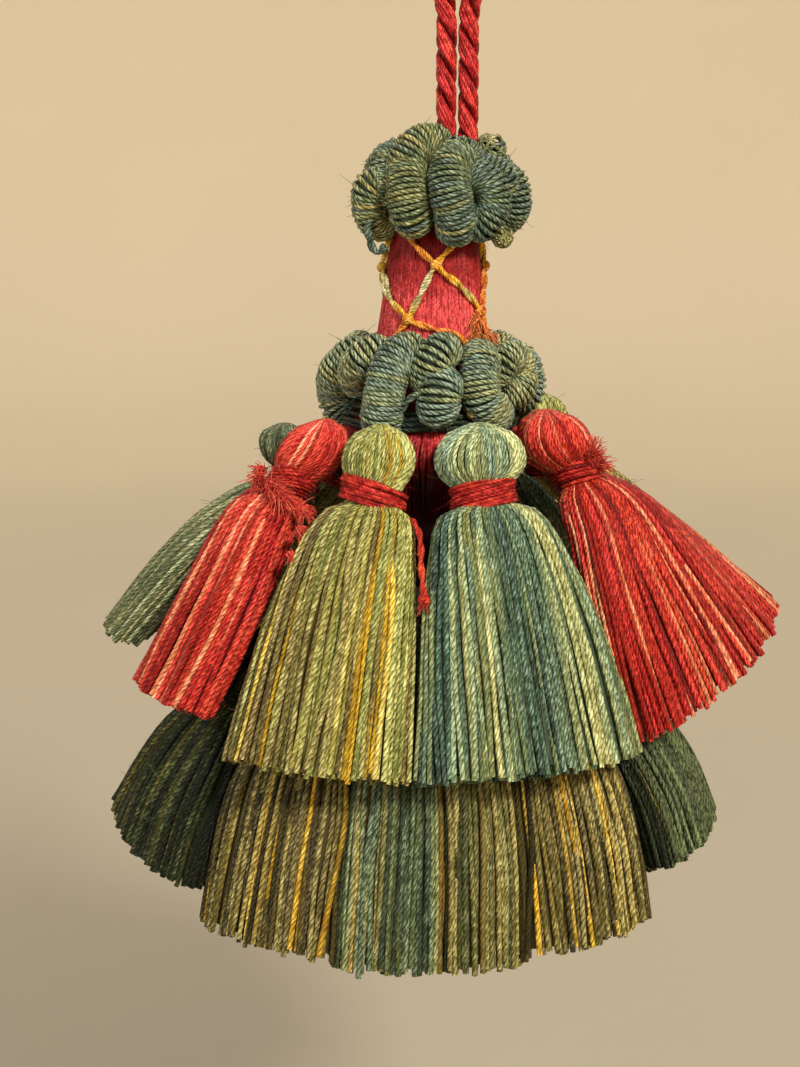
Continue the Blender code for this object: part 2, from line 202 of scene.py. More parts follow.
# ------------------------ the wound lobes: azimuth, radius, height
TOP_LOBES = [  # half width, half depth, then the points along the lobe's middle
    (3.0, 2.7, [
        (-66, 7.4, 48.4), (-50.5, 8.3, 50.6), (-42.5, 8.6, 52.6), (-35.0, 8.6, 54.6), (-28.5, 7.4, 56.2),
        (-14.0, 5.4, 56.4), (0.0, 3.8, 55.0),
    ]),
    (2.5, 2.3, [
        (-50, 6.6, 48.0), (-55, 9.4, 50.6), (-60.7, 9.6, 53.0), (-70.2, 7.6, 55.0), (-66.3, 4.8, 55.8),
    ]),
    (2.3, 2.1, [(-20, 4.6, 54.0), (4.5, 5.8, 54.9), (20.0, 6.2, 55.6), (38.3, 6.2, 54.6), (52.3, 6.6, 52.0)]),
    (3.15, 2.9, [
        (-46.4, 5.4, 54.4), (-37.0, 8.0, 53.4), (-31.0, 9.8, 51.2), (-28.4, 10.2, 48.9), (-27.0, 9.5, 46.7),
        (-32.0, 6.6, 45.3),
    ]),
    (3.1, 2.8, [
        (26.0, 4.4, 54.2), (12.0, 7.6, 54.0), (5.0, 9.7, 52.6), (4.6, 10.6, 50.2), (8.4, 10.4, 47.6),
        (12.6, 9.0, 45.4), (16.6, 6.0, 44.4),
    ]),
    (2.8, 2.7, [
        (27.7, 6.2, 52.4), (38.2, 8.8, 51.6), (43.2, 10.2, 49.9), (43.9, 10.2, 47.9), (38.8, 9.4, 45.8),
        (29.2, 6.6, 45.0),
    ]),
    (2.6, 2.7, [
        (-52.4, 7.0, 52.4), (-63.5, 10.9, 50.9), (-70.3, 11.0, 48.6), (-75.9, 9.8, 46.0), (-89.4, 6.6, 44.8),
    ]),
    (2.1, 2.3, [(43.4, 5.8, 53.7), (54.0, 8.4, 53.2), (61.9, 10.0, 51.6), (69.0, 9.0, 49.6)]),
    (2.4, 2.5, [
        (79.6, 7.4, 53.2), (74.3, 10.4, 51.1), (76.2, 10.8, 48.2), (86.1, 9.2, 46.0), (88.4, 6.4, 45.2),
    ]),
]
BACK_LOBE = [  # way round from the lobe's own azimuth, radius, rise over the ruff's middle
    (4, 5.2, 4.6),
    (1, 8.2, 3.4),
    (-2, 9.6, 0.8),
    (-1, 9.4, -2.0),
    (3, 8.4, -4.2),
    (6, 5.6, -5.2),
]
# The lobes at the back: azimuth, rise, half width.
TOP_BACK = [(-106, 0.4, 3.0), (-142, 0.8, 3.1), (-178, 0.2, 3.0), (146, 0.7, 3.1), (112, 0.0, 2.9)]
TOP_KNOTS = [(82.0, 6.9, 56.2, 2.35), (62.0, 9.9, 43.7, 1.7)]  # azimuth, radius, height, size
TOP_HOOK = [
    (-66, 11.2, 47.4),
    (-63.6, 11.6, 44.7),
    (-64.5, 11.0, 42.6),
    (-58.5, 10.4, 41.5),
    (-52.0, 10.0, 42.4),
]
LOWER_LOBES = [
    (3.2, 3.0, [
        (-99.4, 10.4, 17.4), (-95.4, 13.2, 19.0), (-93.5, 13.9, 21.4), (-83.9, 13.6, 24.2),
        (-78.6, 11.6, 26.6), (-80.7, 9.0, 27.6),
    ]),
    (2.6, 2.5, [
        (-80.2, 9.6, 21.6), (-68.2, 12.0, 23.8), (-53.8, 12.8, 26.2), (-46.7, 11.4, 27.7), (-44.7, 8.6, 27.6),
    ]),
    (3.2, 3.0, [
        (-35.2, 10.4, 16.8), (-31.2, 13.2, 18.0), (-28.8, 14.0, 20.6), (-27.4, 13.8, 23.6),
        (-25.0, 12.8, 26.2), (-19.5, 11.0, 27.6), (-9.5, 8.9, 27.2),
    ]),
    (3.0, 2.7, [
        (-3.0, 9.4, 22.6), (-2.6, 12.0, 24.6), (0.4, 12.9, 26.6), (6.3, 12.0, 27.8), (16.2, 9.6, 27.1),
    ]),
    (3.3, 3.0, [(12.3, 11.2, 24.6), (5.2, 13.8, 22.8), (4.0, 14.0, 20.4), (7.4, 12.4, 18.0)]),
    (3.0, 2.9, [
        (43.9, 8.9, 27.2), (33.6, 12.2, 26.3), (29.4, 13.6, 23.8), (31.6, 13.8, 21.0), (43.8, 12.8, 19.0),
        (60.4, 11.0, 19.0),
    ]),
    (2.5, 2.4, [
        (56.4, 10.0, 22.6), (53.3, 12.2, 25.4), (60.3, 12.9, 26.8), (70.1, 13.2, 26.3), (75.6, 13.6, 24.1),
        (69.0, 13.8, 21.9), (60.4, 12.0, 20.4),
    ]),
    (2.9, 2.8, [
        (88.6, 9.4, 27.0), (90.6, 12.8, 26.0), (91.2, 14.2, 23.8), (90.0, 14.2, 21.2), (86.0, 11.4, 19.6),
    ]),
]
LOWER_BACK = [(-120, 0.2, 3.1), (-150, 0.3, 3.2), (-180, 0.1, 3.1), (150, 0.2, 3.2), (118, 0.2, 3.1)]
LOWER_LOOSE = [(-18.6, 13.4, 19.4), (-12.8, 14.4, 21.3), (-5.8, 14.8, 22.5), (2.0, 13.6, 22.0)]
LOWER_BEADS = [(-4.2, 13.9, 19.9, 0.85), (24.6, 13.8, 19.3, 0.8)]
# Height and radius of the loose turns under the ruff, painted dark as the shade under it.
LOWER_RINGS = [(19.4, 11.6), (18.5, 12.4), (17.7, 12.9), (17.0, 12.7)]

# ------------------------ the net
NET_THREADS = [  # tones along the thread, then its azimuth and height
    ([0.78, 0.66, 0.55], [(-44.0, 46.0), (-37.3, 44.2), (-16.0, 41.6), (2.6, 39.7)]),
    ([0.72, 0.62, 0.50], [(33.0, 45.2), (23.6, 43.0), (12.0, 41.4), (-0.6, 39.5)]),
    ([0.35, 0.06, 0.02, 0.30, 0.46], [
        (3.0, 40.1), (-3.0, 38.9), (-14.0, 35.8), (-22.0, 33.4), (-28.0, 31.6),
    ]),
    ([0.60, 0.52, 0.20, 0.66, 0.84], [
        (0.0, 40.2), (8.0, 38.9), (28.0, 37.0), (48.0, 34.6), (60.0, 33.0), (66.0, 31.0),
    ]),
    ([0.12, 0.10, 0.80], [(-86.0, 38.4), (-70.0, 36.8), (-52.0, 34.9), (-36.0, 33.3), (-22.0, 32.0)]),
    ([0.46, 0.80, 0.88], [(-22.0, 33.0), (-28.0, 31.6), (-37.6, 30.1), (-48.0, 27.4)]),
    ([0.44, 0.86, 0.70, 0.76], [(-27.0, 31.9), (-16.0, 31.6), (6.0, 30.6), (25.7, 29.9), (40.0, 27.6)]),
    ([0.84, 0.74, 0.68], [
        (60.0, 33.4), (70.0, 35.6), (84.0, 38.2), (94.0, 39.8), (104.0, 42.4), (110, 45.0),
    ]),
    ([0.66, 0.74, 0.80], [(54.0, 33.6), (64.0, 31.6), (76.0, 29.0), (84.0, 26.8)]),
    ([0.60, 0.30, 0.50], [
        (84.0, 45.0), (90.0, 42.0), (96.0, 39.0), (118.0, 36.0), (138.0, 32.8), (148.0, 29.4),
    ]),
    ([0.50, 0.10, 0.60], [(120.0, 29.4), (136.0, 32.2), (160.0, 36.2), (184.0, 40.0), (198.0, 44.6)]),
    ([0.40, 0.70, 0.80], [(172.0, 45.0), (184.0, 40.9), (206.0, 36.4), (226.0, 33.4), (240.0, 29.2)]),
    ([0.70, 0.20, 0.50], [(216.0, 29.2), (230.0, 33.0), (250.0, 36.4), (270.0, 39.2), (280.0, 43.6)]),
    ([0.55, 0.30, 0.12], [(262.0, 43.8), (271.0, 39.8), (284.0, 38.2), (300.0, 36.6)]),
]
# The net's knots: azimuth, height, tone.
NET_KNOTS = [
    (1.5, 39.8, 0.55), (-25.4, 32.2, 0.44), (57.8, 33.3, 0.84), (94, 39.6, 0.6), (186, 40.4, 0.5),
    (272, 39.4, 0.5), (140, 32.4, 0.6), (228, 33.0, 0.6),
]
NET_TUFTS = [  # azimuth, height, heading, length, fibres
    (52, 32.4, (0.0, -0.5, -0.9), 2.8, 70),
    (58, 30.8, (0.5, -0.4, -0.7), 3.0, 80),
    (46, 30.2, (-0.2, -0.5, -0.9), 2.6, 70),
    (62, 29.6, (0.9, -0.2, -0.3), 2.4, 50),
]

# ------------------------ how the yarn is laid: lengths in mm
CORD_LAY = 9.6  # one full twist of the cord's two plies
CORD_YARNS = 11  # fine yarns in each ply
CORD_YARN_LAY = 17.0  # one full twist of the yarns in a ply
CORD_PLY_OFFSET = 0.70  # from the cord's middle to a ply's middle
FLOSS_THREADS = 230
TIE_POINTS_A_TURN = 20
STRAND_GLOW = (0.62, 1.30)  # how unevenly the strands catch the light
STRAND_SINK = 0.38  # how far an outer strand's middle lies inside the bell
LAYER_SINK = 0.46  # how much deeper the spare strands lie
SIDE_SHADE = 0.62  # the light that is lost at the sides of a lower tassel
RING_STEP = 2.3  # between the points of a strand
SPARE_STRANDS = 0.72  # strands in the inner layers, as a share of the outer ones
FUZZ_A_STRAND = 1.1
CORE_INSET = 0.72  # from a small tassel's outer strands to its packed middle
CORE_SIDES = 40
CORE_STREAKS = 26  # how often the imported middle's streaks repeat round it
SECTION_STEPS = 241
PAIR_STEP = 0.7
PAIR_PRESS = 0.86  # two threads laid together press into each other
POINTS_A_TURN = 14
DROOP = 0.3  # how far a frayed fibre's end sinks, as a share of its reach
FUZZ_THICKNESS = 0.045
STRAND_SLIM = [-3.0, -0.5, 5.0, 16.0], [0.80, 0.70, 1.0, 1.09]  # girth of a strand, by mm past the waist
STRAND_LIGHT = [-6.0, -1.5, 0.0, 7.0], [1.45, 1.36, 1.16, 1.0]  # light on a strand, by mm past the waist
NECK_LIGHT = (  # light on the neck, by height
    [-5, 7, 9.5, 11.5, 14, 16, 19, 28, 34, 38.5, 44, 49],
    [0.0, 0.0, 0.05, 0.35, 0.95, 1.15, 0.6, 1.42, 1.36, 0.80, 0.50, 0.36],
)
WANDER_SCALE = 90.0
WANDER_STEP = 0.37  # from one strand to the next in the noise
WANDER_GAIN = 4.0  # the noise stays near its middle, so it is stretched to reach the wander asked for

# ------------------------ how spun cotton looks
PLIES = 3
ROW_STEP = 7.31  # from one strand to the next in the dye's noise
SLUBS_PER_MM = 0.85
SLACK = 0.34  # how far a slub slackens the twist, in turns
FIBRES_A_TURN = 12.0
FIBRE_BREAKS_PER_MM = 1.5
BRIGHTEST = 1.6
# The colour's gamma where the painted shade is deepest and where the painted light is brightest.
HOLLOW_GAMMA, CREST_GAMMA = 1.50, 0.70
LIGHT_GAIN, LIGHT_FLOOR = 0.68, 0.21
FLOOR_SHARE = 0.40  # how bright the card is at the middle of the floor, where it is darkened as painted shade

# ------------------------ dyes, as sRGB hex along each hank's run
DYES = {
    "red": ["640709", "820D0D", "981612", "A31F15", "AC2D18", "BE5238", "D27E58"],
    "olive": ["6A5A2F", "7A6E3D", "8A8345", "838947", "949550", "AEA050", "BC9A27"],
    "teal": ["32463B", "47624E", "5F765F", "76865F", "8D935E", "A0A065", "B1AA6B"],
    "sage": ["45523A", "556144", "687150", "757E59", "83875F", "8D8C5E", "9B8F4D"],
    "dark_green": ["161C0C", "1D2513", "253118", "303B1D", "3F451D", "4D4B1E", "61571D"],
    "green": ["313E2E", "405038", "525F3E", "656B41", "787544", "887A41", "9E8238"],
    "moss": ["434B2D", "565934", "6E6B3A", "7E763F", "8E8048", "9E8948", "BA8D2D"],
    "brown_olive": ["443E23", "554D2A", "675E32", "786F39", "897839", "A28329", "C49114"],
    "ruff_green": ["262E26", "3B483C", "4D6155", "5C6848", "7C7B4B", "A2924F", "C7A964"],
    "net": ["C3BB8C", "A49C66", "C1A245", "D79820", "D58530", "CB692C", "BB4420"],
    "crimson": ["560406", "70090B", "891011", "9A1617", "A51C1A", "AE251D", "B93726"],
    "floss": ["56070D", "701115", "89191D", "9A2225", "A52A29", "AE362E", "B94D3A"],
}
# For each dye: its slot, how much painted light gathers on a head, a head's own tone, how far a strand's tone
# drifts along it, and how strong its streaks, painted glints and painted groove shade are.
Yarn = namedtuple("Yarn", "slot head_light head_tone drift streaks glints groove")
YARNS = {
    "red": Yarn("yarn_red", 0.45, 0.50, 0.20, 0.32, 0.24, 0.68),
    "olive": Yarn("yarn_olive", 0.40, 0.62, 0.22, 0.36, 0.27, 0.60),
    "teal": Yarn("yarn_teal", 0.80, 0.58, 0.30, 0.38, 0.28, 0.60),
    "sage": Yarn("yarn_sage", -0.50, 0.10, 0.30, 0.38, 0.28, 0.60),
    "dark_green": Yarn("yarn_dark_green", 1.0, 0.50, 0.22, 0.36, 0.28, 0.60),
    "green": Yarn("yarn_green", 1.0, 0.50, 0.22, 0.36, 0.28, 0.60),
    "moss": Yarn("yarn_moss", 1.0, 0.50, 0.22, 0.36, 0.28, 0.60),
    "brown_olive": Yarn("yarn_olive", 1.0, 0.50, 0.20, 0.34, 0.26, 0.60),
}
# The tassels that catch more light than the rest, by first azimuth and dye.
HEM_LIGHT = {(56, "dark_green"): 1.8, (22, "brown_olive"): 1.17, (-82, "red"): 1.15, (-18, "green"): 1.08}
# The root, way out and tone of each loose fibre, gathered as the yarn is laid.
HAIRS = {"red": [], "green": [], "ruff": []}


# ------------------------ small tools
def from_hex(code):
    """An sRGB hex colour as linear RGBA."""
    parts = [int(code[i : i + 2], 16) / 255 for i in (0, 2, 4)]
    return [p / 12.92 if p <= 0.04045 else ((p + 0.055) / 1.055) ** 2.4 for p in parts] + [1.0]


def place(radius, azimuth, height, shift=0.0):
    """Points in metres from mm and degrees round the tassel's leaning axis, with azimuth 0 at the front."""
    turn = np.radians(azimuth)
    x = radius * np.sin(turn) + LEAN * height + shift - CORD_X
    y = -radius * np.cos(turn) + 0 * height
    return np.stack([x, y, height - MOUNT_HEIGHT + 0 * radius], -1) * MM


def place_rows(rows, shift=0.0):
    """The same for rows of azimuth, radius and height, as the tables at the top hold them."""
    azimuth, radius, height = np.array(rows, float).T
    return place(radius, azimuth, height, shift)


def smooth_through(rows, steps):
    """A smooth run through the rows, with this many steps in each span."""
    rows = np.asarray(rows, float)
    ends = np.vstack([2 * rows[0] - rows[1], rows, 2 * rows[-1] - rows[-2]])
    t = np.arange(steps)[:, None] / steps
    out = []
    for a, b, c, d in zip(ends, ends[1:], ends[2:], ends[3:], strict=False):
        out.append(b + 0.5 * t * (c - a + t * (2 * a - 5 * b + 4 * c - d + t * (3 * (b - c) + d - a))))
    return np.vstack([*out, rows[-1:]])


def lengths_along(points):
    """How far along the line each point lies."""
    return np.concatenate([[0.0], np.cumsum(np.linalg.norm(np.diff(points, axis=0), axis=1))])


def read_at(at, run, points):
    """The line's points at these places along its run."""
    return np.stack([np.interp(at, run, column) for column in points.T], 1)


def resampled(points, step):
    """The line cut to even steps of about this length."""
    run = lengths_along(points)
    count = max(2, round(run[-1] / step) + 1)
    return read_at(np.linspace(0.0, run[-1], count), run, points)


def unit(vector):
    """The direction of one vector."""
    return vector / np.linalg.norm(vector)


def around(angle, side, up):
    """Directions at these angles round a line, from two that are square to it."""
    return np.cos(angle)[:, None] * side + np.sin(angle)[:, None] * up


def carried_frames(points):
    """Two directions square to the line at each point, carried along it without twist."""
    along = np.gradient(points, axis=0)
    along /= np.linalg.norm(along, axis=1, keepdims=True)
    first = np.cross(along[0], (0.0, 0.0, 1.0))
    if np.linalg.norm(first) < 0.2:
        first = np.cross(along[0], (0.0, 1.0, 0.0))
    side = [unit(first)]
    for direction in along[1:]:
        side.append(unit(side[-1] - direction * (side[-1] @ direction)))
    side = np.array(side)
    return side, np.cross(along, side)


def soft_noise(rng, count, knots):
    """A smooth random run from -1 to 1."""
    values = rng.uniform(-1, 1, knots + 3)
    return smooth_through(values[:, None], 8)[:, 0][np.linspace(8, 8 * (knots + 1), count).astype(int)]


def ring_faces(rings, sides):
    """The faces between rings of points that are numbered one ring after another."""
    faces = []
    for j in range(rings - 1):
        for i in range(sides):
            k = (i + 1) % sides
            faces.append((j * sides + i, j * sides + k, (j + 1) * sides + k, (j + 1) * sides + i))
    return faces


def new_object(name, data):
    """An object of this name, put in the scene."""
    made = bpy.data.objects.new(name, data)
    bpy.context.scene.collection.objects.link(made)
    return made


def add(tree, kind, links=(), **settings):
    """Adds a node with its settings, and sets its inputs by name or number: a socket is linked, a node is
    linked by its first output, and anything else is a value."""
    node = tree.nodes.new(kind)
    for key, value in settings.items():
        setattr(node, key, value)
    for socket, value in dict(links).items():
        target = node.inputs[socket]
        if isinstance(value, bpy.types.Node):
            value = value.outputs[0]
        if isinstance(value, bpy.types.NodeSocket):
            tree.links.new(value, target)
        else:
            target.default_value = value
    return node


# ------------------------ materials
def blend(one, other, share):
    """A colour this far from one to the other."""
    return [a + (b - a) * share for a, b in zip(one, other, strict=True)]


def scaled(colour, share):
    """The colour this many times as bright, and opaque."""
    return [share * c for c in colour[:3]] + [1]


def empty_material(name):
    """A new material, and its node tree with nothing in it."""
    material = bpy.data.materials.new(name)
    material.use_nodes = True
    material.node_tree.nodes.clear()
    return material, material.node_tree


def yarn_material(
    name,
    dye,
    ply_pitch,
    groove,
    ply_depth=0.12,
    dye_run=17.0,
    dye_spread=0.34,
    roughness=0.38,
    crest_highlight=1.16,
    streaks=0.46,
    glints=0.36,
):
    """Mercerised cotton, spun in fine plies and space-dyed: a silky line of painted glints along each ply,
    painted shade in the grooves between them, and tones that drift along a strand and from strand to strand;
    the shade attribute paints more light and shade over it."""
    material, tree = empty_material(name)
    lie = add(tree, "ShaderNodeUVMap", uv_map="YarnUV")
    split = add(tree, "ShaderNodeSeparateXYZ", {0: lie})
    turn, along = split.outputs[0], split.outputs[1]
    tint, strand, shade = (
        add(tree, "ShaderNodeAttribute", attribute_name=key).outputs["Fac"]
        for key in ("tint", "strand", "shade")
    )

    # The dye run: each strand reads its own slow noise along its length.
    row = add(tree, "ShaderNodeMath", {0: strand, 1: ROW_STEP}, operation="MULTIPLY")
    way = add(tree, "ShaderNodeMath", {0: along, 1: dye_run}, operation="DIVIDE")
    where = add(tree, "ShaderNodeCombineXYZ", {0: way, 1: row})
    drift = add(
        tree, "ShaderNodeTexNoise", {"Vector": where, "Scale": 1.0, "Detail": 1.5}, noise_dimensions="2D"
    )
    spread = add(
        tree,
        "ShaderNodeMath",
        {0: drift.outputs["Fac"], 1: 2 * dye_spread, 2: -dye_spread},
        operation="MULTIPLY_ADD",
    )
    tone = add(tree, "ShaderNodeMath", {0: tint, 1: spread}, operation="ADD")
    ramp = add(tree, "ShaderNodeValToRGB", {0: tone})
    colours = DYES[dye]
    last = len(colours) - 1
    points = ramp.color_ramp.elements
    for i, code in enumerate(colours):
        # A new ramp already has its first and last points.
        point = points.new(i / last) if 0 < i < last else points[0 if i == 0 else -1]
        point.position = i / last
        point.color = from_hex(code)

    # Slubs: short thick and thin places, which also slacken the twist.
    slub_x = add(tree, "ShaderNodeMath", {0: along, 1: SLUBS_PER_MM}, operation="MULTIPLY")
    slub_at = add(tree, "ShaderNodeCombineXYZ", {0: slub_x, 1: row})
    slub = add(
        tree, "ShaderNodeTexNoise", {"Vector": slub_at, "Scale": 1.0, "Detail": 1.0}, noise_dimensions="2D"
    )
    # The plies: a ridge runs round the strand once in each full twist.
    even = add(tree, "ShaderNodeMath", {0: along, 1: -1 / ply_pitch, 2: turn}, operation="MULTIPLY_ADD")
    slope = add(tree, "ShaderNodeMath", {0: slub.outputs["Fac"], 1: SLACK, 2: even}, operation="MULTIPLY_ADD")
    angle = add(tree, "ShaderNodeMath", {0: slope, 1: math.pi * PLIES}, operation="MULTIPLY")
    wave = add(tree, "ShaderNodeMath", {0: angle}, operation="COSINE")
    ridge = add(tree, "ShaderNodeMath", {0: wave}, operation="ABSOLUTE")
    # Fine fibres lie along each ply, so their noise is stretched along the twist.
    fibre_x = add(tree, "ShaderNodeMath", {0: slope, 1: FIBRES_A_TURN}, operation="MULTIPLY")
    fibre_y = add(
        tree, "ShaderNodeMath", {0: along, 1: FIBRE_BREAKS_PER_MM, 2: row}, operation="MULTIPLY_ADD"
    )
    fibre_at = add(tree, "ShaderNodeCombineXYZ", {0: fibre_x, 1: fibre_y})
    fibre = add(
        tree, "ShaderNodeTexNoise", {"Vector": fibre_at, "Scale": 1.0, "Detail": 2.0}, noise_dimensions="2D"
    )

    # Painted shade in the grooves between the plies, and a painted highlight on their crests.
    deep = add(
        tree,
        "ShaderNodeMapRange",
        {0: ridge, 1: 0.0, 2: 0.95, 3: groove, 4: crest_highlight},
        interpolation_type="SMOOTHSTEP",
    )
    streak = add(
        tree,
        "ShaderNodeMapRange",
        {0: fibre.outputs["Fac"], 1: 0.28, 2: 0.72, 3: 1 - streaks, 4: 1 + streaks},
    )
    # Painted glints: the slub noise brightens and darkens the colour along a strand.
    painted_glint = add(
        tree, "ShaderNodeMapRange", {0: slub.outputs["Fac"], 1: 0.3, 2: 0.7, 3: 1 - glints, 4: 1 + glints}
    )
    both = add(tree, "ShaderNodeMath", {0: deep, 1: streak}, operation="MULTIPLY")
    lit = add(tree, "ShaderNodeMath", {0: both, 1: painted_glint}, operation="MULTIPLY")
    light = add(tree, "ShaderNodeMath", {0: lit, 1: shade}, operation="MULTIPLY")
    # Painted light and shade scale the colour; the painted hollows are also deeper in colour and the crests
    # paler, as where light passes through the dye again and again.
    depth = add(tree, "ShaderNodeMapRange", {0: light, 1: 0.0, 2: BRIGHTEST, 3: HOLLOW_GAMMA, 4: CREST_GAMMA})
    dye_under_painted_light = add(tree, "ShaderNodeGamma", {"Color": ramp, "Gamma": depth})
    level = add(tree, "ShaderNodeMath", {0: light, 1: LIGHT_GAIN, 2: LIGHT_FLOOR}, operation="MULTIPLY_ADD")
    dyed = add(tree, "ShaderNodeVectorMath", {0: dye_under_painted_light, "Scale": level}, operation="SCALE")

    height = add(
        tree, "ShaderNodeMath", {0: fibre.outputs["Fac"], 1: 0.6, 2: ridge}, operation="MULTIPLY_ADD"
    )
    bump = add(tree, "ShaderNodeBump", {"Height": height, "Strength": 1.0, "Distance": ply_depth * MM})
    gloss = add(
        tree,
        "ShaderNodeMapRange",
        {0: fibre.outputs["Fac"], 1: 0.2, 2: 0.8, 3: roughness - 0.07, 4: roughness + 0.12},
    )
    cotton = add(
        tree,
        "ShaderNodeBsdfPrincipled",
        {
            "Base Color": dyed,
            "Roughness": gloss,
            "Normal": bump,
            "IOR": 1.53,
            "Specular IOR Level": 0.26,
            "Specular Tint": blend(from_hex("FFFFFF"), from_hex(colours[-2]), 0.45),
            "Sheen Weight": 0.04,
            "Sheen Roughness": 0.4,
            "Sheen Tint": from_hex("FFF2DA"),
        },
    )
    add(tree, "ShaderNodeOutputMaterial", {0: cotton})
    return material


def stage_material(name, base):
    """Matt painted card: even, with the faintest mottling of its primer, and painted shade that darkens it
    towards the middle of the floor."""
    material, tree = empty_material(name)
    spot = add(tree, "ShaderNodeTexCoord")
    mottle = add(tree, "ShaderNodeTexNoise", {"Vector": spot.outputs["Object"], "Scale": 6.0, "Detail": 3.0})
    ramp = add(tree, "ShaderNodeValToRGB", {0: mottle.outputs["Fac"]})
    ramp.color_ramp.elements[0].color = scaled(base, 0.96)
    ramp.color_ramp.elements[1].color = [min(1, c) for c in scaled(base, 1.02)]
    reach = add(tree, "ShaderNodeVectorMath", {0: spot.outputs["Object"]}, operation="LENGTH")
    # Painted shade: the card darkens towards the middle of the floor.
    painted_floor_shade = add(
        tree, "ShaderNodeMapRange", {0: reach.outputs["Value"], 1: 0.25, 2: 1.45, 3: FLOOR_SHARE, 4: 1.0}
    )
    toned = add(tree, "ShaderNodeVectorMath", {0: ramp, "Scale": painted_floor_shade}, operation="SCALE")
    card = add(
        tree, "ShaderNodeBsdfPrincipled", {"Base Color": toned, "Roughness": 0.85, "Specular IOR Level": 0.2}
    )
    add(tree, "ShaderNodeOutputMaterial", {0: card})
    return material


# ------------------------ spinning: lines of yarn into tubes
TREE_INPUTS = [  # name, kind, default
    ("Sides", "NodeSocketInt", 5),
    ("Thickness", "NodeSocketFloat", 1.0),
    ("Wander", "NodeSocketFloat", 0.0),
    ("Wander Scale", "NodeSocketFloat", WANDER_SCALE),
    ("Seed", "NodeSocketFloat", 0.0),
    ("Yarn", "NodeSocketMaterial", None),
]


def spun_yarn_tree():
    """Geometry Nodes that turn each chain of edges into a strand: its line wanders a little, its girth comes
    from the chain, and turn counts once round it."""
    tree = bpy.data.node_groups.get("Spun yarn")
    if tree:
        return tree
    tree = bpy.data.node_groups.new("Spun yarn", "GeometryNodeTree")
    tree.interface.new_socket("Geometry", in_out="INPUT", socket_type="NodeSocketGeometry")
    for name, kind, default in TREE_INPUTS:
        socket = tree.interface.new_socket(name, in_out="INPUT", socket_type=kind)
        if default is not None:
            socket.default_value = default
    tree.interface.new_socket("Geometry", in_out="OUTPUT", socket_type="NodeSocketGeometry")
    given = add(tree, "NodeGroupInput")
    strand, loose, thick = (
        add(tree, "GeometryNodeInputNamedAttribute", {"Name": key}, data_type="FLOAT")
        for key in ("strand", "loose", "thick")
    )
    curve = add(tree, "GeometryNodeMeshToCurve", {"Mesh": given.outputs["Geometry"]})
    where = add(tree, "GeometryNodeInputPosition")
    place_in_noise = add(
        tree,
        "ShaderNodeMath",
        {0: strand, 1: WANDER_STEP, 2: given.outputs["Seed"]},
        operation="MULTIPLY_ADD",
    )
    drift = add(
        tree,
        "ShaderNodeTexNoise",
        {"Vector": where, "W": place_in_noise, "Scale": given.outputs["Wander Scale"], "Detail": 0.0},
        noise_dimensions="4D",
    )
    centred = add(
        tree, "ShaderNodeVectorMath", {0: drift.outputs["Color"], 1: (0.5, 0.5, 0.5)}, operation="SUBTRACT"
    )
    freed = add(tree, "ShaderNodeMath", {0: given.outputs["Wander"], 1: loose}, operation="MULTIPLY")
    reach = add(tree, "ShaderNodeMath", {0: freed, 1: WANDER_GAIN}, operation="MULTIPLY")
    offset = add(tree, "ShaderNodeVectorMath", {0: centred, "Scale": reach}, operation="SCALE")
    moved = add(tree, "GeometryNodeSetPosition", {"Geometry": curve, "Offset": offset})
    ring = add(
        tree, "GeometryNodeCurvePrimitiveCircle", {"Resolution": given.outputs["Sides"], "Radius": 1.0}
    )
    share = add(tree, "GeometryNodeSplineParameter")
    ring_turn = add(
        tree,
        "GeometryNodeStoreNamedAttribute",
        {"Geometry": ring, "Name": "turn", "Value": share.outputs["Factor"]},
        data_type="FLOAT",
        domain="POINT",
    )
    girth = add(tree, "ShaderNodeMath", {0: thick, 1: given.outputs["Thickness"]}, operation="MULTIPLY")
    tube = add(
        tree,
        "GeometryNodeCurveToMesh",
        {"Curve": moved, "Profile Curve": ring_turn, "Scale": girth, "Fill Caps": True},
    )
    smooth = add(tree, "GeometryNodeSetShadeSmooth", {"Geometry": tube})
    real = add(tree, "GeometryNodeRealizeInstances", {"Geometry": smooth})
    dressed = add(tree, "GeometryNodeSetMaterial", {"Geometry": real, "Material": given.outputs["Yarn"]})
    add(tree, "NodeGroupOutput", {0: dressed})
    return tree


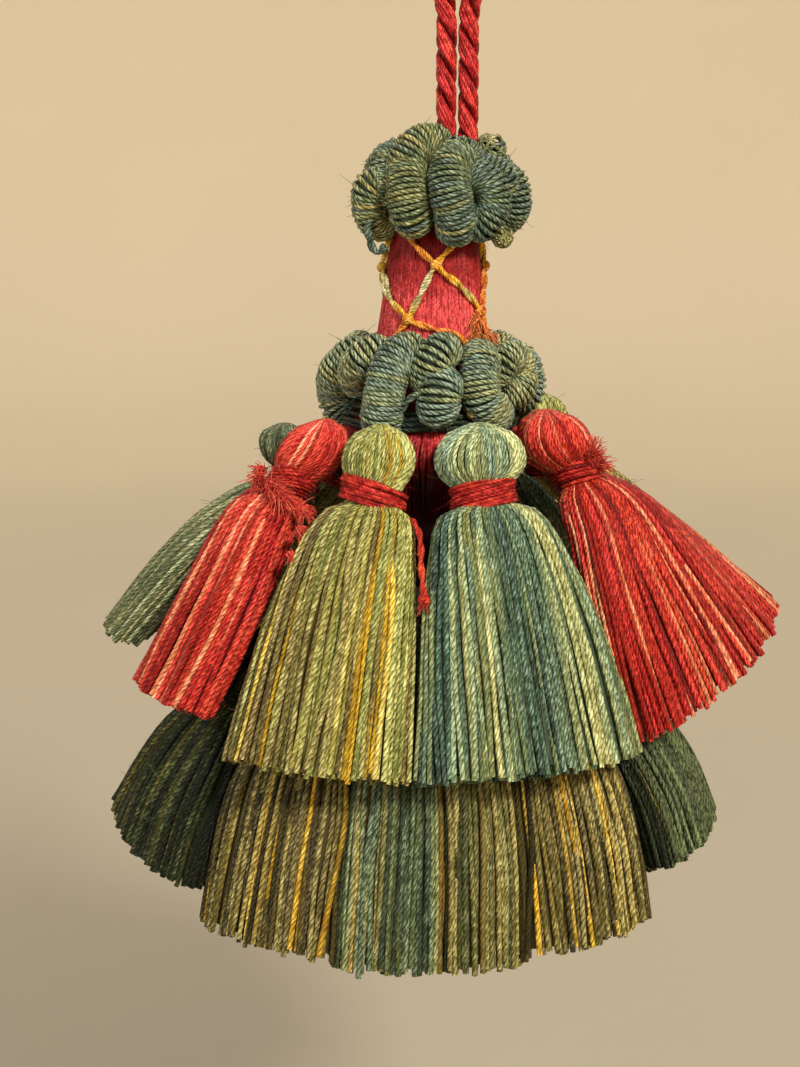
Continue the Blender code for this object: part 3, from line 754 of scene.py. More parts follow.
class Lines:
    """Strands as they are laid, before they are spun: points, girth, dye tone, painted light and shade, and
    looseness.
    """

    def __init__(self):
        self.rows = []

    def lay(self, points, thick, tint, shade=1.0, loose=0.0, start=0.0):
        """Adds one strand. Its dye and its twist are read from start, in mm."""
        n = len(points)
        run = lengths_along(points) / MM + start
        row = [np.broadcast_to(np.asarray(v, float), (n,)) for v in (thick, tint, shade, loose)]
        self.rows.append((points, run, *row))

    def spin(self, name, material, slot, sides, wander=0.0, seed=0.0, replaces=()):
        """Turns the lines into one plain mesh piece that rides on the body."""
        counts = [len(r[0]) for r in self.rows]
        points = np.vstack([r[0] for r in self.rows])
        starts = np.concatenate([[0], np.cumsum(counts)])
        index = np.arange(len(points))
        first = np.setdiff1d(index, starts[1:] - 1)
        mesh = bpy.data.meshes.new(name)
        mesh.vertices.add(len(points))
        mesh.vertices.foreach_set("co", points.astype(np.float32).ravel())
        mesh.edges.add(len(first))
        mesh.edges.foreach_set("vertices", np.stack([first, first + 1], 1).astype(np.int32).ravel())
        strand = np.repeat(np.arange(len(counts)), counts)
        columns = {"strand": strand, "along": np.concatenate([r[1] for r in self.rows])}
        for i, key in enumerate(("thick", "tint", "shade", "loose")):
            columns[key] = np.concatenate([r[2 + i] for r in self.rows])
        for key, values in columns.items():
            mesh.attributes.new(key, "FLOAT", "POINT").data.foreach_set("value", values.astype(np.float32))
        rig = new_object(name + "_lines", mesh)
        tree = spun_yarn_tree()
        modifier = rig.modifiers.new("Spun yarn", "NODES")
        modifier.node_group = tree
        sockets = {s.name: s.identifier for s in tree.interface.items_tree if s.in_out == "INPUT"}
        given = {
            "Sides": sides,
            "Thickness": MM,
            "Wander": wander,
            "Wander Scale": WANDER_SCALE,
            "Seed": seed,
            "Yarn": material,
        }
        for key, value in given.items():
            modifier[sockets[key]] = value
        graph = bpy.context.evaluated_depsgraph_get()
        rigged = rig.evaluated_get(graph)
        spun = bpy.data.meshes.new_from_object(rigged, preserve_all_data_layers=True, depsgraph=graph)
        bpy.data.objects.remove(rig)
        bpy.data.meshes.remove(mesh)
        spun.name = name
        if not spun.polygons:
            raise RuntimeError(f"{name}: the yarn came out empty")
        lay_yarn_maps(spun, len(counts))
        piece = new_object(name, spun)
        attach(piece, BODY)
        if replaces:
            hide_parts(*replaces)
        return piece


def lay_yarn_maps(mesh, strands):
    """Writes two maps: YarnUV, turns round and mm along a strand, and OFBake, a strip for each strand."""
    loops = np.empty(len(mesh.loops), np.int32)
    mesh.loops.foreach_get("vertex_index", loops)
    start = np.empty(len(mesh.polygons), np.int32)
    mesh.polygons.foreach_get("loop_start", start)

    def read(key):
        values = np.empty(len(mesh.vertices), np.float32)
        mesh.attributes[key].data.foreach_get("value", values)
        return values[loops]

    turn, along, strand = read("turn"), read("along"), np.rint(read("strand"))
    count = np.diff(np.append(start, len(loops)))
    face = np.repeat(np.arange(len(start)), count)
    # A face that closes the round reads on past one turn.
    wide = (np.maximum.reduceat(turn, start) - np.minimum.reduceat(turn, start)) > 0.5
    turn = turn + (wide[face] & (turn < 0.5))
    longest = float(along.max())
    # The strips lie in rows, about as many as make the map square.
    rows = max(1, round(math.sqrt(strands * 2.6 / max(longest, 1.0))))
    columns = math.ceil(strands / rows)
    u = (strand % columns + 0.04 + 0.92 * turn / 1.25) / columns
    v = (strand // columns + 0.01 + 0.98 * along / longest) / rows
    for key, across, up in (("YarnUV", turn, along), ("OFBake", u, v)):
        flat = np.stack([across, up], 1).astype(np.float32).ravel()
        mesh.uv_layers.new(name=key).uv.foreach_set("vector", flat)
    for key in ("turn", "along", "thick", "loose"):
        mesh.attributes.remove(mesh.attributes[key])


# ------------------------ small tassels
def tassel_stations(head, skirt, row):
    """The small tassel's sections from head to hem, as the frame has them: radius, height, half width, half
    thickness, tilt, squareness, slant and how far its head swings round."""
    start, end, _, hem_radius, hem_height, hem_slant = row
    half_sector = math.radians(end - start) / 2

    def widest(radius):
        half = radius * half_sector - TIER_GAP / 2
        if head is LOWER_HEAD:
            # In the lower tier neighbours press on each other, and their hems mingle.
            half += np.interp(radius - head[-1][0], [0, 3, 9], [0.1, 0.35, MINGLE])
        return half

    swing, reach, up = BENT_HEADS.get(start, (0.0, 0.0, 0.0))
    turn, stand = CROWNS.get(start, (0.0, 0.0))
    bulk, lift = HEAD_SIZES.get(start, (1.0, 0.0))
    turned, widened, rise = SPREAD_HEMS.get(start, (0.0, 0.0, 0.0))
    bend = np.linspace(0, 1, len(head)) ** 1.5
    stations = []
    for (radius, height, wide, thick, tilt), f in zip(head, bend, strict=True):
        fuller = 1 + (bulk - 1) * (f < 0.6)
        wide = min(wide * fuller, widest(radius))
        far, high = radius + reach * f + stand * (1 - f), height + lift * (1 - f) + up * f
        stations.append((far, high, wide, thick * fuller, tilt, 1.0, 0.0, swing * f + turn * (1 - f)))
    waist_radius, waist_height = head[-1][:2]
    for down, out, share, thick, tilt in skirt:
        radius = waist_radius + out * (hem_radius - waist_radius)
        height = waist_height + down * (hem_height - waist_height)
        back = max(0.0, 1 - 2.2 * down)
        wide = share * widest(radius) * (1 + widened * down)
        far, high = radius + reach * back, height + max(up * back, rise)
        round_it = swing * back + turned * down
        stations.append((far, high, wide, thick, tilt, SKIRT_SQUARENESS, hem_slant * down, round_it))
    return np.array(stations)


def rounded(angle, squareness):
    """Cosine and sine of a section that is round at squareness 1 and boxier below it."""
    c, s = np.cos(angle), np.sin(angle)
    return np.copysign(np.abs(c) ** squareness, c), np.copysign(np.abs(s) ** squareness, s)


def even_angles(half_width, half_thick, squareness, share):
    """The section angles that lie at these shares of its girth."""
    angle = np.linspace(0, 2 * np.pi, SECTION_STEPS)
    c, s = rounded(angle, squareness)
    run = np.concatenate([[0], np.cumsum(np.hypot(np.diff(c * half_width), np.diff(s * half_thick)))])
    return np.interp(share % 1.0, run / run[-1], angle)


def girth(half_width, half_thick, squareness):
    """The length round one section."""
    c, s = rounded(np.linspace(0, 2 * np.pi, SECTION_STEPS), squareness)
    return float(np.hypot(np.diff(c * half_width), np.diff(s * half_thick)).sum())


def section_points(azimuth, station, share, grow, depth=1.0):
    """Points on one section at these shares of its girth, moved out by grow, and drawn in towards its middle
    by depth."""
    radius, height, half_width, half_thick, tilt, square, slant, swing = station
    angle = even_angles(half_width, half_thick, square, share)
    c, s = rounded(angle, square)
    out = depth * s * (half_thick + grow)
    side = depth * c
    lean = math.radians(tilt)
    r = radius + out * math.cos(lean) + side * slant / 2
    z = height + out * math.sin(lean) + side * slant / 2
    return place(r, azimuth + swing + np.degrees(side * (half_width + grow) / radius), z), c * depth, s


def tassel_lines(row, head, skirt, waist, first, seed, sizes, tones):
    """All the strands of one small tassel. Outer ones run over the head and under the tie, and the rest come
    out below it."""
    rng = np.random.default_rng(seed)
    azimuth, yarn = (row[0] + row[1]) / 2, YARNS[row[2]]
    stations = tassel_stations(head, skirt, row)
    fine = smooth_through(stations, 6)
    run = lengths_along(place(fine[:, 0], azimuth, fine[:, 1])) / MM
    marks = run[np.arange(len(stations)) * 6]
    waist_at = marks[waist]
    # The strands are placed at these marks: close together over the head, and wider apart down the skirt.
    above = np.arange(marks[first], waist_at + 1, RING_STEP / 2)
    below = np.arange(waist_at + 2, run[-1] - 1, RING_STEP)
    at = np.concatenate([above, below, [run[-1], run[-1] + 1.5]])
    fine = read_at(at, run, fine)
    over = (at - run[-1]).clip(0)  # the hem runs straight on a little
    fall = (fine[-2] - fine[-4]) / max(at[-2] - at[-4], 1e-6)
    fine[:, :2] += over[:, None] * fall[:2]
    # Two strands in three run over the head, spread evenly on it. The rest start under the tie.
    count = round(girth(*stations[-1][2:4], stations[-1][5]) / sizes["spacing"])
    share = (np.arange(count) + rng.uniform(-0.25, 0.25, count)) / count
    outer = (np.arange(count) * 2) % 3 < 2
    on_head = share.copy()
    on_head[outer] = (np.arange(outer.sum()) + rng.uniform(-0.15, 0.15, outer.sum())) / outer.sum()
    # Spare strands fill the inner layers of the skirt.
    spare = round(count * SPARE_STRANDS)
    share = np.append(share, rng.uniform(0, 1, spare))
    on_head = np.append(on_head, share[count:])
    outer = np.append(outer, np.zeros(spare, bool))
    layer = np.append(np.zeros(count), rng.uniform(0.4, 1.1, spare))
    seat = rng.normal(0, 0.12, count + spare)  # no two strands lie at quite the same depth
    glow = rng.uniform(*STRAND_GLOW, count + spare)
    total = count + spare
    # Each strand has its start, where it comes up to the surface, how it strays and where it ends.
    begins = np.where(outer, -1.0, waist_at + rng.uniform(0.2, 1.2, total))
    surfaces = waist_at + rng.uniform(3.0, 15.0, total)
    wander = np.stack([soft_noise(rng, len(at), 3) for _ in range(total)])
    lift = np.stack([soft_noise(rng, len(at), 4) for _ in range(total)])
    stray = rng.uniform(size=total) < sizes["strays"]
    length = run[-1] + rng.normal(0, sizes["hem_unevenness"], total).clip(-1.4, 1.3)
    places, across, faces = [], [], []
    for j, station in enumerate(fine):
        freed = np.clip((at[j] - waist_at) / 20, 0, 1)
        sway = wander[:, j] * (0.25 + 0.75 * freed) * np.where(stray, 2.2, 0.75) / count
        loosened = 0.3 + freed
        grow = -STRAND_SINK + lift[:, j] * 0.10 * loosened + stray * 0.35 * freed - layer * LAYER_SINK
        grow += seat * loosened
        spread = np.clip((at[j] - waist_at) / 8, 0, 1)
        hidden = np.clip((surfaces - at[j]) / (surfaces - waist_at), 0, 1)
        depth = np.where(outer, 1.0, 1.0 - 0.26 * hidden)
        p, c, s = section_points(azimuth, station, on_head + (share - on_head) * spread + sway, grow, depth)
        places.append(p)
        across.append(c)
        faces.append(s)
    places, across = np.stack(places, 1), np.stack(across, 1)
    lines = Lines()
    front = np.stack(faces, 1)[:, -1] > 0
    spine = place(fine[:, 0], azimuth + fine[:, 7], fine[:, 1])
    for i in range(total):
        lateral = across[i, -2]  # from -1 at the tassel's left edge to 1 at its right
        tone = tones(lateral, bool(front[i]), rng)
        begin = max(begins[i], at[0])
        # Little light reaches the strands at the sides of a lower tassel.
        side = 1 - SIDE_SHADE * (head is LOWER_HEAD) * np.clip((abs(lateral) - 0.86) / 0.10, 0, 1)
        if length[i] - begin < 3:
            continue
        spot = np.concatenate([[begin], at[(at > begin + 0.4) & (at < length[i] - 0.4)], [length[i]]])
        capped = first == 0 and outer[i]  # this strand comes out of the middle of the crown
        if capped:
            spot = np.append(at[0] - 1.0, spot)
        pts = read_at(spot, at, places[i])
        if capped:
            pts[0] = spine[0] + (pts[1] - spine[0]) * 0.25 + np.array([0, 0, 0.15]) * MM
        freed = np.clip((spot - waist_at) / 12, 0, 1)
        slim = np.interp(spot - waist_at, *STRAND_SLIM)
        light = np.interp(spot - waist_at, *STRAND_LIGHT)
        light = 1 + (light - 1) * yarn.head_light
        # Heads are more even in tone than skirts.
        calm = np.interp(spot - waist_at, [-2.5, 3.0], [0.2 if tone > 0.9 else 0.6, 0.0])
        tone = tone + (yarn.head_tone - tone) * calm
        swell = 1.0 + 0.05 * soft_noise(rng, len(pts), 5)
        thick = sizes["strand"] / 2 * slim * swell * (1.06 if stray[i] else 1.0)
        if not layer[i]:
            for _ in range(rng.poisson(FUZZ_A_STRAND)):
                j = int(rng.integers(0, len(at) - 3))
                if at[j] >= begin:
                    sizes["hairs"].append((places[i, j], places[i, j] - spine[j], float(tone[-1])))
        # Strands of the inner layers are painted darker, as shade.
        light = light * side * glow[i] * (0.8 if layer[i] else 1.0) * HEM_LIGHT.get((row[0], row[2]), 1.0)
        lines.lay(pts, thick, tone, shade=light, loose=freed, start=rng.uniform(0, 40))
    return lines, stations, azimuth


def core_piece(name, azimuth, stations, first, material):
    """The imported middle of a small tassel, just inside its outer strands, so that no gap shows daylight."""
    fine = smooth_through(stations[first:], 4)
    rings, sides = [], CORE_SIDES
    share = np.arange(sides) / sides
    for station in fine:
        rings.append(section_points(azimuth, station, share, -CORE_INSET)[0])
    rings[-1] = rings[-1] * 0.7 + rings[-2] * 0.3
    points = np.vstack(rings)
    last = (len(rings) - 1) * sides
    faces = ring_faces(len(rings), sides) + [tuple(range(sides))[::-1], tuple(range(last, last + sides))]
    mesh = bpy.data.meshes.new(name)
    mesh.from_pydata(points.tolist(), [], faces)
    mesh.validate()
    drop = lengths_along(np.array([r.mean(0) for r in rings])) / MM
    uv = mesh.uv_layers.new(name="YarnUV")
    bake = mesh.uv_layers.new(name="OFBake")
    for face in mesh.polygons:
        for corner, vertex in zip(face.loop_indices, face.vertices, strict=False):
            j, i = divmod(vertex, sides)
            if i == 0 and len(face.vertices) == 4 and sides - 1 in [v % sides for v in face.vertices]:
                i = sides  # the last face of a ring closes on its first corner
            uv.data[corner].uv = (i / sides * CORE_STREAKS, drop[j])
            bake.data[corner].uv = (0.02 + 0.9 * i / sides, 0.02 + 0.96 * drop[j] / drop[-1])
    mesh.materials.append(material)
    mesh.polygons.foreach_set("use_smooth", [True] * len(mesh.polygons))
    piece = new_object(name, mesh)
    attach(piece, BODY)


def core_material(name, dye):
    """The same cotton packed deep in a bundle, where little light reaches, with that shade painted in: dark,
    dull and streaked along the strands."""
    material, tree = empty_material(name)
    lie = add(tree, "ShaderNodeUVMap", uv_map="YarnUV")
    stretch = add(tree, "ShaderNodeMapping", {"Vector": lie, "Scale": (5.0, 0.3, 1.0)})
    streak = add(
        tree, "ShaderNodeTexNoise", {"Vector": stretch, "Scale": 1.0, "Detail": 2.0}, noise_dimensions="2D"
    )
    ramp = add(tree, "ShaderNodeValToRGB", {0: streak.outputs["Fac"]})
    dark, pale = from_hex(DYES[dye][0]), from_hex(DYES[dye][2])
    # Painted shade: the dye's darkest colour and a paler one, both darkened.
    ramp.color_ramp.elements[0].color = scaled(dark, 0.40)
    ramp.color_ramp.elements[1].color = scaled(pale, 0.62)
    bump = add(tree, "ShaderNodeBump", {"Height": streak.outputs["Fac"], "Distance": 0.3 * MM})
    cotton = add(
        tree,
        "ShaderNodeBsdfPrincipled",
        {"Base Color": ramp, "Roughness": 0.8, "Normal": bump, "Specular IOR Level": 0.2},
    )
    add(tree, "ShaderNodeOutputMaterial", {0: cotton})
    return material


# ------------------------ wound lobes, knots and tufts
def wind_lobe(lines, path, half_width, half_depth, thread, pitch, rng, shift, tint, shade):
    """Winds one thread round a bent lobe, and fills it with its packed middle."""
    middle = resampled(smooth_through(place_rows(path, shift), 8), 0.4 * MM)
    side, up = carried_frames(middle)
    run = lengths_along(middle) / MM
    taper = np.sqrt(np.clip(np.minimum(run, run[-1] - run) / 2.2, 0.16, 1))
    # A lobe's depth lies towards the tassel's axis, and its width lies round it.
    axis = place(0 * run, 0 * run, middle[:, 2] / MM + MOUNT_HEIGHT, shift)
    outward = middle - axis
    outward[:, 2] = 0
    outward /= np.linalg.norm(outward, axis=1, keepdims=True)
    turns = run[-1] / pitch
    count = int(turns * POINTS_A_TURN)
    # The turns lie a little closer here and there.
    slip = np.cumsum(1 + 0.10 * soft_noise(rng, count, max(4, int(turns))))
    slip = slip / slip[-1] * run[-1]
    spin = np.linspace(0, turns * 2 * np.pi, count) + rng.uniform(0, 6)
    mid, a, b, out_at = (read_at(slip, run, values) for values in (middle, side, up, outward))
    slim = np.interp(slip, run, taper)
    swell = 1 + 0.045 * soft_noise(rng, count, int(turns * 1.6))
    ring = around(spin, a, b)
    facing = np.abs((ring * out_at).sum(1))
    girth_at = (half_width * (1 - facing) + half_depth * facing - thread / 2) * slim * swell
    points = mid + ring * (girth_at * MM)[:, None]
    tone = tint + 0.10 * soft_noise(rng, count, int(turns * 1.3))
    lines.lay(points, thread / 2, tone, shade=shade, start=rng.uniform(0, 60))
    for j in rng.integers(0, count, int(turns * 1.1)):
        HAIRS["ruff"].append((points[j], ring[j], float(tone[j])))
    core = resampled(middle, 0.9 * MM)
    core_taper = np.interp(lengths_along(core) / MM, run, taper)
    # The packed middle is painted darker, as the shade between the turns.
    lines.lay(core, (min(half_width, half_depth) - thread * 0.66) * core_taper, 0.3, shade=0.6)


def wound_ball(lines, centre, size, thread, rng, tint):
    """A small knot of thread, wound over itself."""
    for _ in range(5):
        tilt = unit(rng.normal(size=3))
        side = unit(np.cross(tilt, (0.3, 0.5, 0.8)))
        angle = np.linspace(0, 2 * np.pi * 1.6, 26)
        slide = np.linspace(-0.55, 0.55, 26)
        ring = around(angle, side, np.cross(tilt, side)) * np.sqrt(1 - slide**2)[:, None]
        points = centre + MM * (size - thread / 2) * (ring + slide[:, None] * tilt)
        lines.lay(points, thread / 2, tint + rng.uniform(-0.15, 0.2))
    # A dark stub inside the knot, painted as the shade within it.
    stub = centre + np.array([[0, 0, -0.35], [0, 0, 0.0], [0, 0, 0.35]]) * size * MM
    lines.lay(stub, size * 0.72, 0.2, shade=0.25)


def frayed_tuft(lines, root, way, length, count, spread, rng, tint, fibre=0.13, shade=1.2):
    """Loose fibres that fan out of one place, as where a thread was cut and has frayed."""
    way = unit(np.array(way, float))
    for _ in range(count):
        heading = unit(way + rng.normal(0, spread, 3))
        reach = length * rng.uniform(0.45, 1.0)
        curl = rng.normal(0, 0.35, 3)
        t = np.linspace(0, 1, 7)[:, None]
        bend = heading * t + curl * t**2 * 0.5 - np.array([0, 0, DROOP]) * t**2
        start = np.array(root) + rng.normal(0, 0.28, 3) * MM
        # Painted light: the shade given, above one, makes the fibres brighter.
        lines.lay(start + bend * reach * MM, fibre / 2 * (1 - 0.4 * t[:, 0]), rng.uniform(*tint), shade=shade)


def fuzz(name, hairs, material, slot, seed):
    """Fine loose fibres that stand off the yarn, from the places gathered while it was laid."""
    rng = np.random.default_rng(seed)
    lines = Lines()
    t = np.linspace(0, 1, 5)[:, None]
    for root, outward, tone in hairs:
        outward = outward / max(float(np.linalg.norm(outward)), 1e-9)
        heading = unit(outward * rng.uniform(0.3, 0.9) + rng.normal(0, 0.6, 3))
        curl = rng.normal(0, 0.6, 3)
        points = root + 0.3 * MM * outward + rng.uniform(0.5, 1.7) * MM * (heading * t + curl * t**2 * 0.6)
        # The loose fibres are painted a little lighter.
        lines.lay(points, FUZZ_THICKNESS * (1 - 0.5 * t[:, 0]), tone, shade=1.1)
    lines.spin(name, material, sides=3, slot=slot)


def twisted_pair(lines, path, girth_each, pitch, tint, rng):
    """Two threads laid round each other along a path."""
    middle = resampled(path, PAIR_STEP * MM)
    side, up = carried_frames(middle)
    run = lengths_along(middle) / MM
    spin = run / pitch * 2 * np.pi + rng.uniform(0, 6)
    tones = np.interp(run / run[-1], np.linspace(0, 1, len(tint)), tint)
    reach = girth_each / 2 * PAIR_PRESS
    for k in range(2):
        points = middle + MM * reach * around(spin + k * np.pi, side, up)
        lines.lay(points, girth_each / 2, tones + rng.uniform(-0.05, 0.05), start=rng.uniform(0, 30))


def neck_radius(height):
    """The radius of the turned neck at this height."""
    rows = np.array(NECK_PROFILE)[::-1]
    return np.interp(height, rows[:, 0], rows[:, 1])


# ------------------------ settings
class TasselSizes(bpy.types.PropertyGroup):
    """Yarn sizes a maker would choose."""

    strand: bpy.props.FloatProperty(
        name="Strand", description="Diameter of the tassels' yarn", default=0.76 * MM, min=0.0003, max=0.002,
        precision=5, unit="LENGTH",
    )
    spacing: bpy.props.FloatProperty(
        name="Strand spacing", description="Distance between strands at the hem", default=0.63 * MM,
        min=0.0003, max=0.003, precision=5, unit="LENGTH",
    )
    ply_pitch: bpy.props.FloatProperty(
        name="Ply twist", description="Length of one full twist of the plies", default=3.2 * MM, min=0.0005,
        max=0.01, precision=5, unit="LENGTH",
    )
    winding: bpy.props.FloatProperty(
        name="Ruff thread", description="Diameter of the thread wound on the ruffs", default=0.70 * MM,
        min=0.0003, max=0.002, precision=5, unit="LENGTH",
    )
    floss: bpy.props.FloatProperty(
        name="Neck floss", description="Diameter of the floss on the neck", default=0.40 * MM, min=0.0002,
        max=0.002, precision=5, unit="LENGTH",
    )
    hem_unevenness: bpy.props.FloatProperty(
        name="Hem unevenness", description="How far strand ends differ in length", default=0.30 * MM, min=0,
        max=0.005, precision=5, unit="LENGTH",
    )
    strays: bpy.props.FloatProperty(
        name="Strays", description="Share of strands that cross their neighbours", default=0.05, min=0, max=1,
        subtype="FACTOR",
    )


class TasselStage(bpy.types.PropertyGroup):
    """The floor and the light."""

    card: bpy.props.FloatVectorProperty(
        name="Backdrop", description="Colour of the floor and backdrop", default=from_hex("F4E7CD")[:3],
        size=3, min=0, max=1, subtype="COLOR",
    )
    key: bpy.props.FloatProperty(
        name="Key light", description="Power of the light from the upper right", default=8.0, min=0, max=200,
        unit="POWER",
    )
    fill: bpy.props.FloatProperty(
        name="Fill light", description="Power of the light from the left", default=2.0, min=0, max=200,
        unit="POWER",
    )


def in_mm(settings, *names):
    """These lengths of the settings, in mm."""
    return [getattr(settings, n) / MM for n in names]


# ------------------------ operators
class TASSEL_OT_camera(bpy.types.Operator):
    """Sets the camera in front of the tassel, a little above its middle"""

    bl_idname = "tassel.camera"
    bl_label = "Camera"

    def execute(self, context):
        data = bpy.data.cameras.new("Camera")
        data.sensor_width = 36
        data.lens = CAMERA_LENS
        data.clip_start, data.clip_end = 0.01, 20
        camera = new_object("Camera", data)
        back, up = CAMERA_DISTANCE * math.cos(CAMERA_RAISED), CAMERA_DISTANCE * math.sin(CAMERA_RAISED)
        camera.location = (CAMERA_AIM[0], -back, CAMERA_AIM[1] + up)
        camera.rotation_euler = (math.pi / 2 - CAMERA_RAISED, 0, 0)
        context.scene.camera = camera
        context.scene.view_settings.view_transform = "Standard"
        return {"FINISHED"}


class TASSEL_OT_cord(bpy.types.Operator):
    """Lays up the hanging cord from two plies of fine yarns, doubled into a loop"""

    bl_idname = "tassel.cord"
    bl_label = "Hanging cord"

    def execute(self, context):
        rng = np.random.default_rng(11)
        half = smooth_through(CORD_ROUTE, 8)
        across = np.concatenate([half[:, 0], -half[-2::-1, 0]])
        height = np.concatenate([half[:, 1], half[-2::-1, 1]])
        route = np.stack([across, 0 * across, height - MOUNT_HEIGHT], 1) * MM
        middle = resampled(route, 0.8 * MM)
        run = lengths_along(middle) / MM
        tangent = np.gradient(middle, axis=0)
        tangent /= np.linalg.norm(tangent, axis=1, keepdims=True)
        side = np.tile([0.0, -1.0, 0.0], (len(middle), 1))
        up = np.cross(tangent, side)
        lines = Lines()
        for ply in range(2):
            spin = -run / CORD_LAY * 2 * np.pi + ply * np.pi + 0.6
            out = around(spin, side, up)
            round_it = np.cross(tangent, out)
            core = middle + MM * CORD_PLY_OFFSET * out
            # The ply's middle is painted dark, as the shade between its yarns.
            lines.lay(core, 0.62, 0.1, shade=0.35)
            for k in range(CORD_YARNS):
                own = 2 * np.pi * k / CORD_YARNS + run / CORD_YARN_LAY * 2 * np.pi
                outer, sideways = CORD_PLY_OFFSET + 0.50 * np.cos(own), 0.98 * np.sin(own)
                points = middle + MM * (outer[:, None] * out + sideways[:, None] * round_it)
                tone = rng.uniform(0.2, 0.85)
                # Painted light and shade: yarns on the inside of a ply are darker, and those on the outside
                # lighter.
                painted_ply_light = np.interp(np.cos(own), [-1, -0.2, 0.4, 1], [0.50, 0.86, 1.12, 1.34])
                lines.lay(points, 0.26, tone, shade=painted_ply_light, start=rng.uniform(0, 30))
        material = yarn_material(
            "Twisted crimson cotton cord",
            "crimson",
            ply_pitch=1.6,
            ply_depth=0.05,
            groove=0.66,
            dye_run=12,
            roughness=0.42,
        )
        piece = lines.spin("twisted_cord", material, sides=6, slot="cord_yarn", replaces=["hanging_cord"])
        return {"FINISHED"}


class TASSEL_OT_neck(bpy.types.Operator):
    """Lays floss straight down over the turned neck"""

    bl_idname = "tassel.neck"
    bl_label = "Neck floss"

    def execute(self, context):
        (floss,) = in_mm(context.scene.tassel_sizes, "floss")
        rng = np.random.default_rng(23)
        lines = Lines()
        height = np.arange(49.2, -5.0, -1.6)
        # Little light reaches the neck right under the ruffs and behind the heads.
        light = np.interp(height, *NECK_LIGHT)
        for i in range(FLOSS_THREADS):
            azimuth = 360 * (i + rng.uniform(-0.3, 0.3)) / FLOSS_THREADS
            sway = soft_noise(rng, len(height), 4) * 1.0 + soft_noise(rng, len(height), 16) * 0.7
            # The floss swells out behind each head.
            near = min(abs((azimuth - row[0] + 180) % 360 - 180) for row in UPPER_TIER)
            bulge = 2.6 * math.exp(-((near / 6) ** 2)) * np.exp(-(((height - 12.6) / 3.0) ** 2))
            radius = neck_radius(height) - floss * 0.4 + 0.05 * soft_noise(rng, len(height), 5) + bulge
            points = place(radius, azimuth + sway, height)
            thick = floss / 2 * (0.9 + 0.45 * radius / 13 + bulge * 0.12)
            lines.lay(points, thick, rng.uniform(0.42, 0.72), shade=light, start=rng.uniform(0, 30))
        core = place(0 * height, 0 * height, height)
        lines.lay(core, neck_radius(height) - floss * 0.62, 0.35, shade=0.85 * light)
        material = yarn_material(
            "Crimson rayon floss", "floss", ply_pitch=2.0, ply_depth=0.03, groove=0.82, streaks=0.34,
            glints=0.30, dye_run=9, dye_spread=0.14, roughness=0.38,
        )
        lines.spin("neck_floss_wrap", material, sides=4, slot="neck_floss", replaces=["neck"])
        return {"FINISHED"}


class TASSEL_OT_netting(bpy.types.Operator):
    """Nets the neck with variegated thread, knotted where threads cross"""

    bl_idname = "tassel.netting"
    bl_label = "Netting"

    def execute(self, context):
        rng = np.random.default_rng(37)
        lines = Lines()
        for tones, path in NET_THREADS:
            run = smooth_through(path, 8)
            points = place(neck_radius(run[:, 1]) + 0.52, run[:, 0], run[:, 1])
            twisted_pair(lines, points, 0.60, 7.0, tones, rng)
        for azimuth, height, tone in NET_KNOTS:
            centre = place(neck_radius(height) + 0.7, azimuth, height)
            wound_ball(lines, centre, 0.85, 0.42, rng, tone)
        material = yarn_material(
            "Variegated netting thread", "net", ply_pitch=1.7, ply_depth=0.08, groove=0.6, dye_spread=0.10,
            dye_run=6, roughness=0.5,
        )
        lines.spin("neck_net", material, sides=6, slot="net_thread", replaces=["netting"])
        tuft = Lines()
        for azimuth, height, way, length, count in NET_TUFTS:
            root = place(neck_radius(height) + 0.5, azimuth, height)
            frayed_tuft(tuft, root, way, length, count, 0.42, rng, fibre=0.2, tint=(0.78, 0.98), shade=1.6)
        tuft.spin("net_tuft", material, sides=3, slot="net_thread")
        return {"FINISHED"}


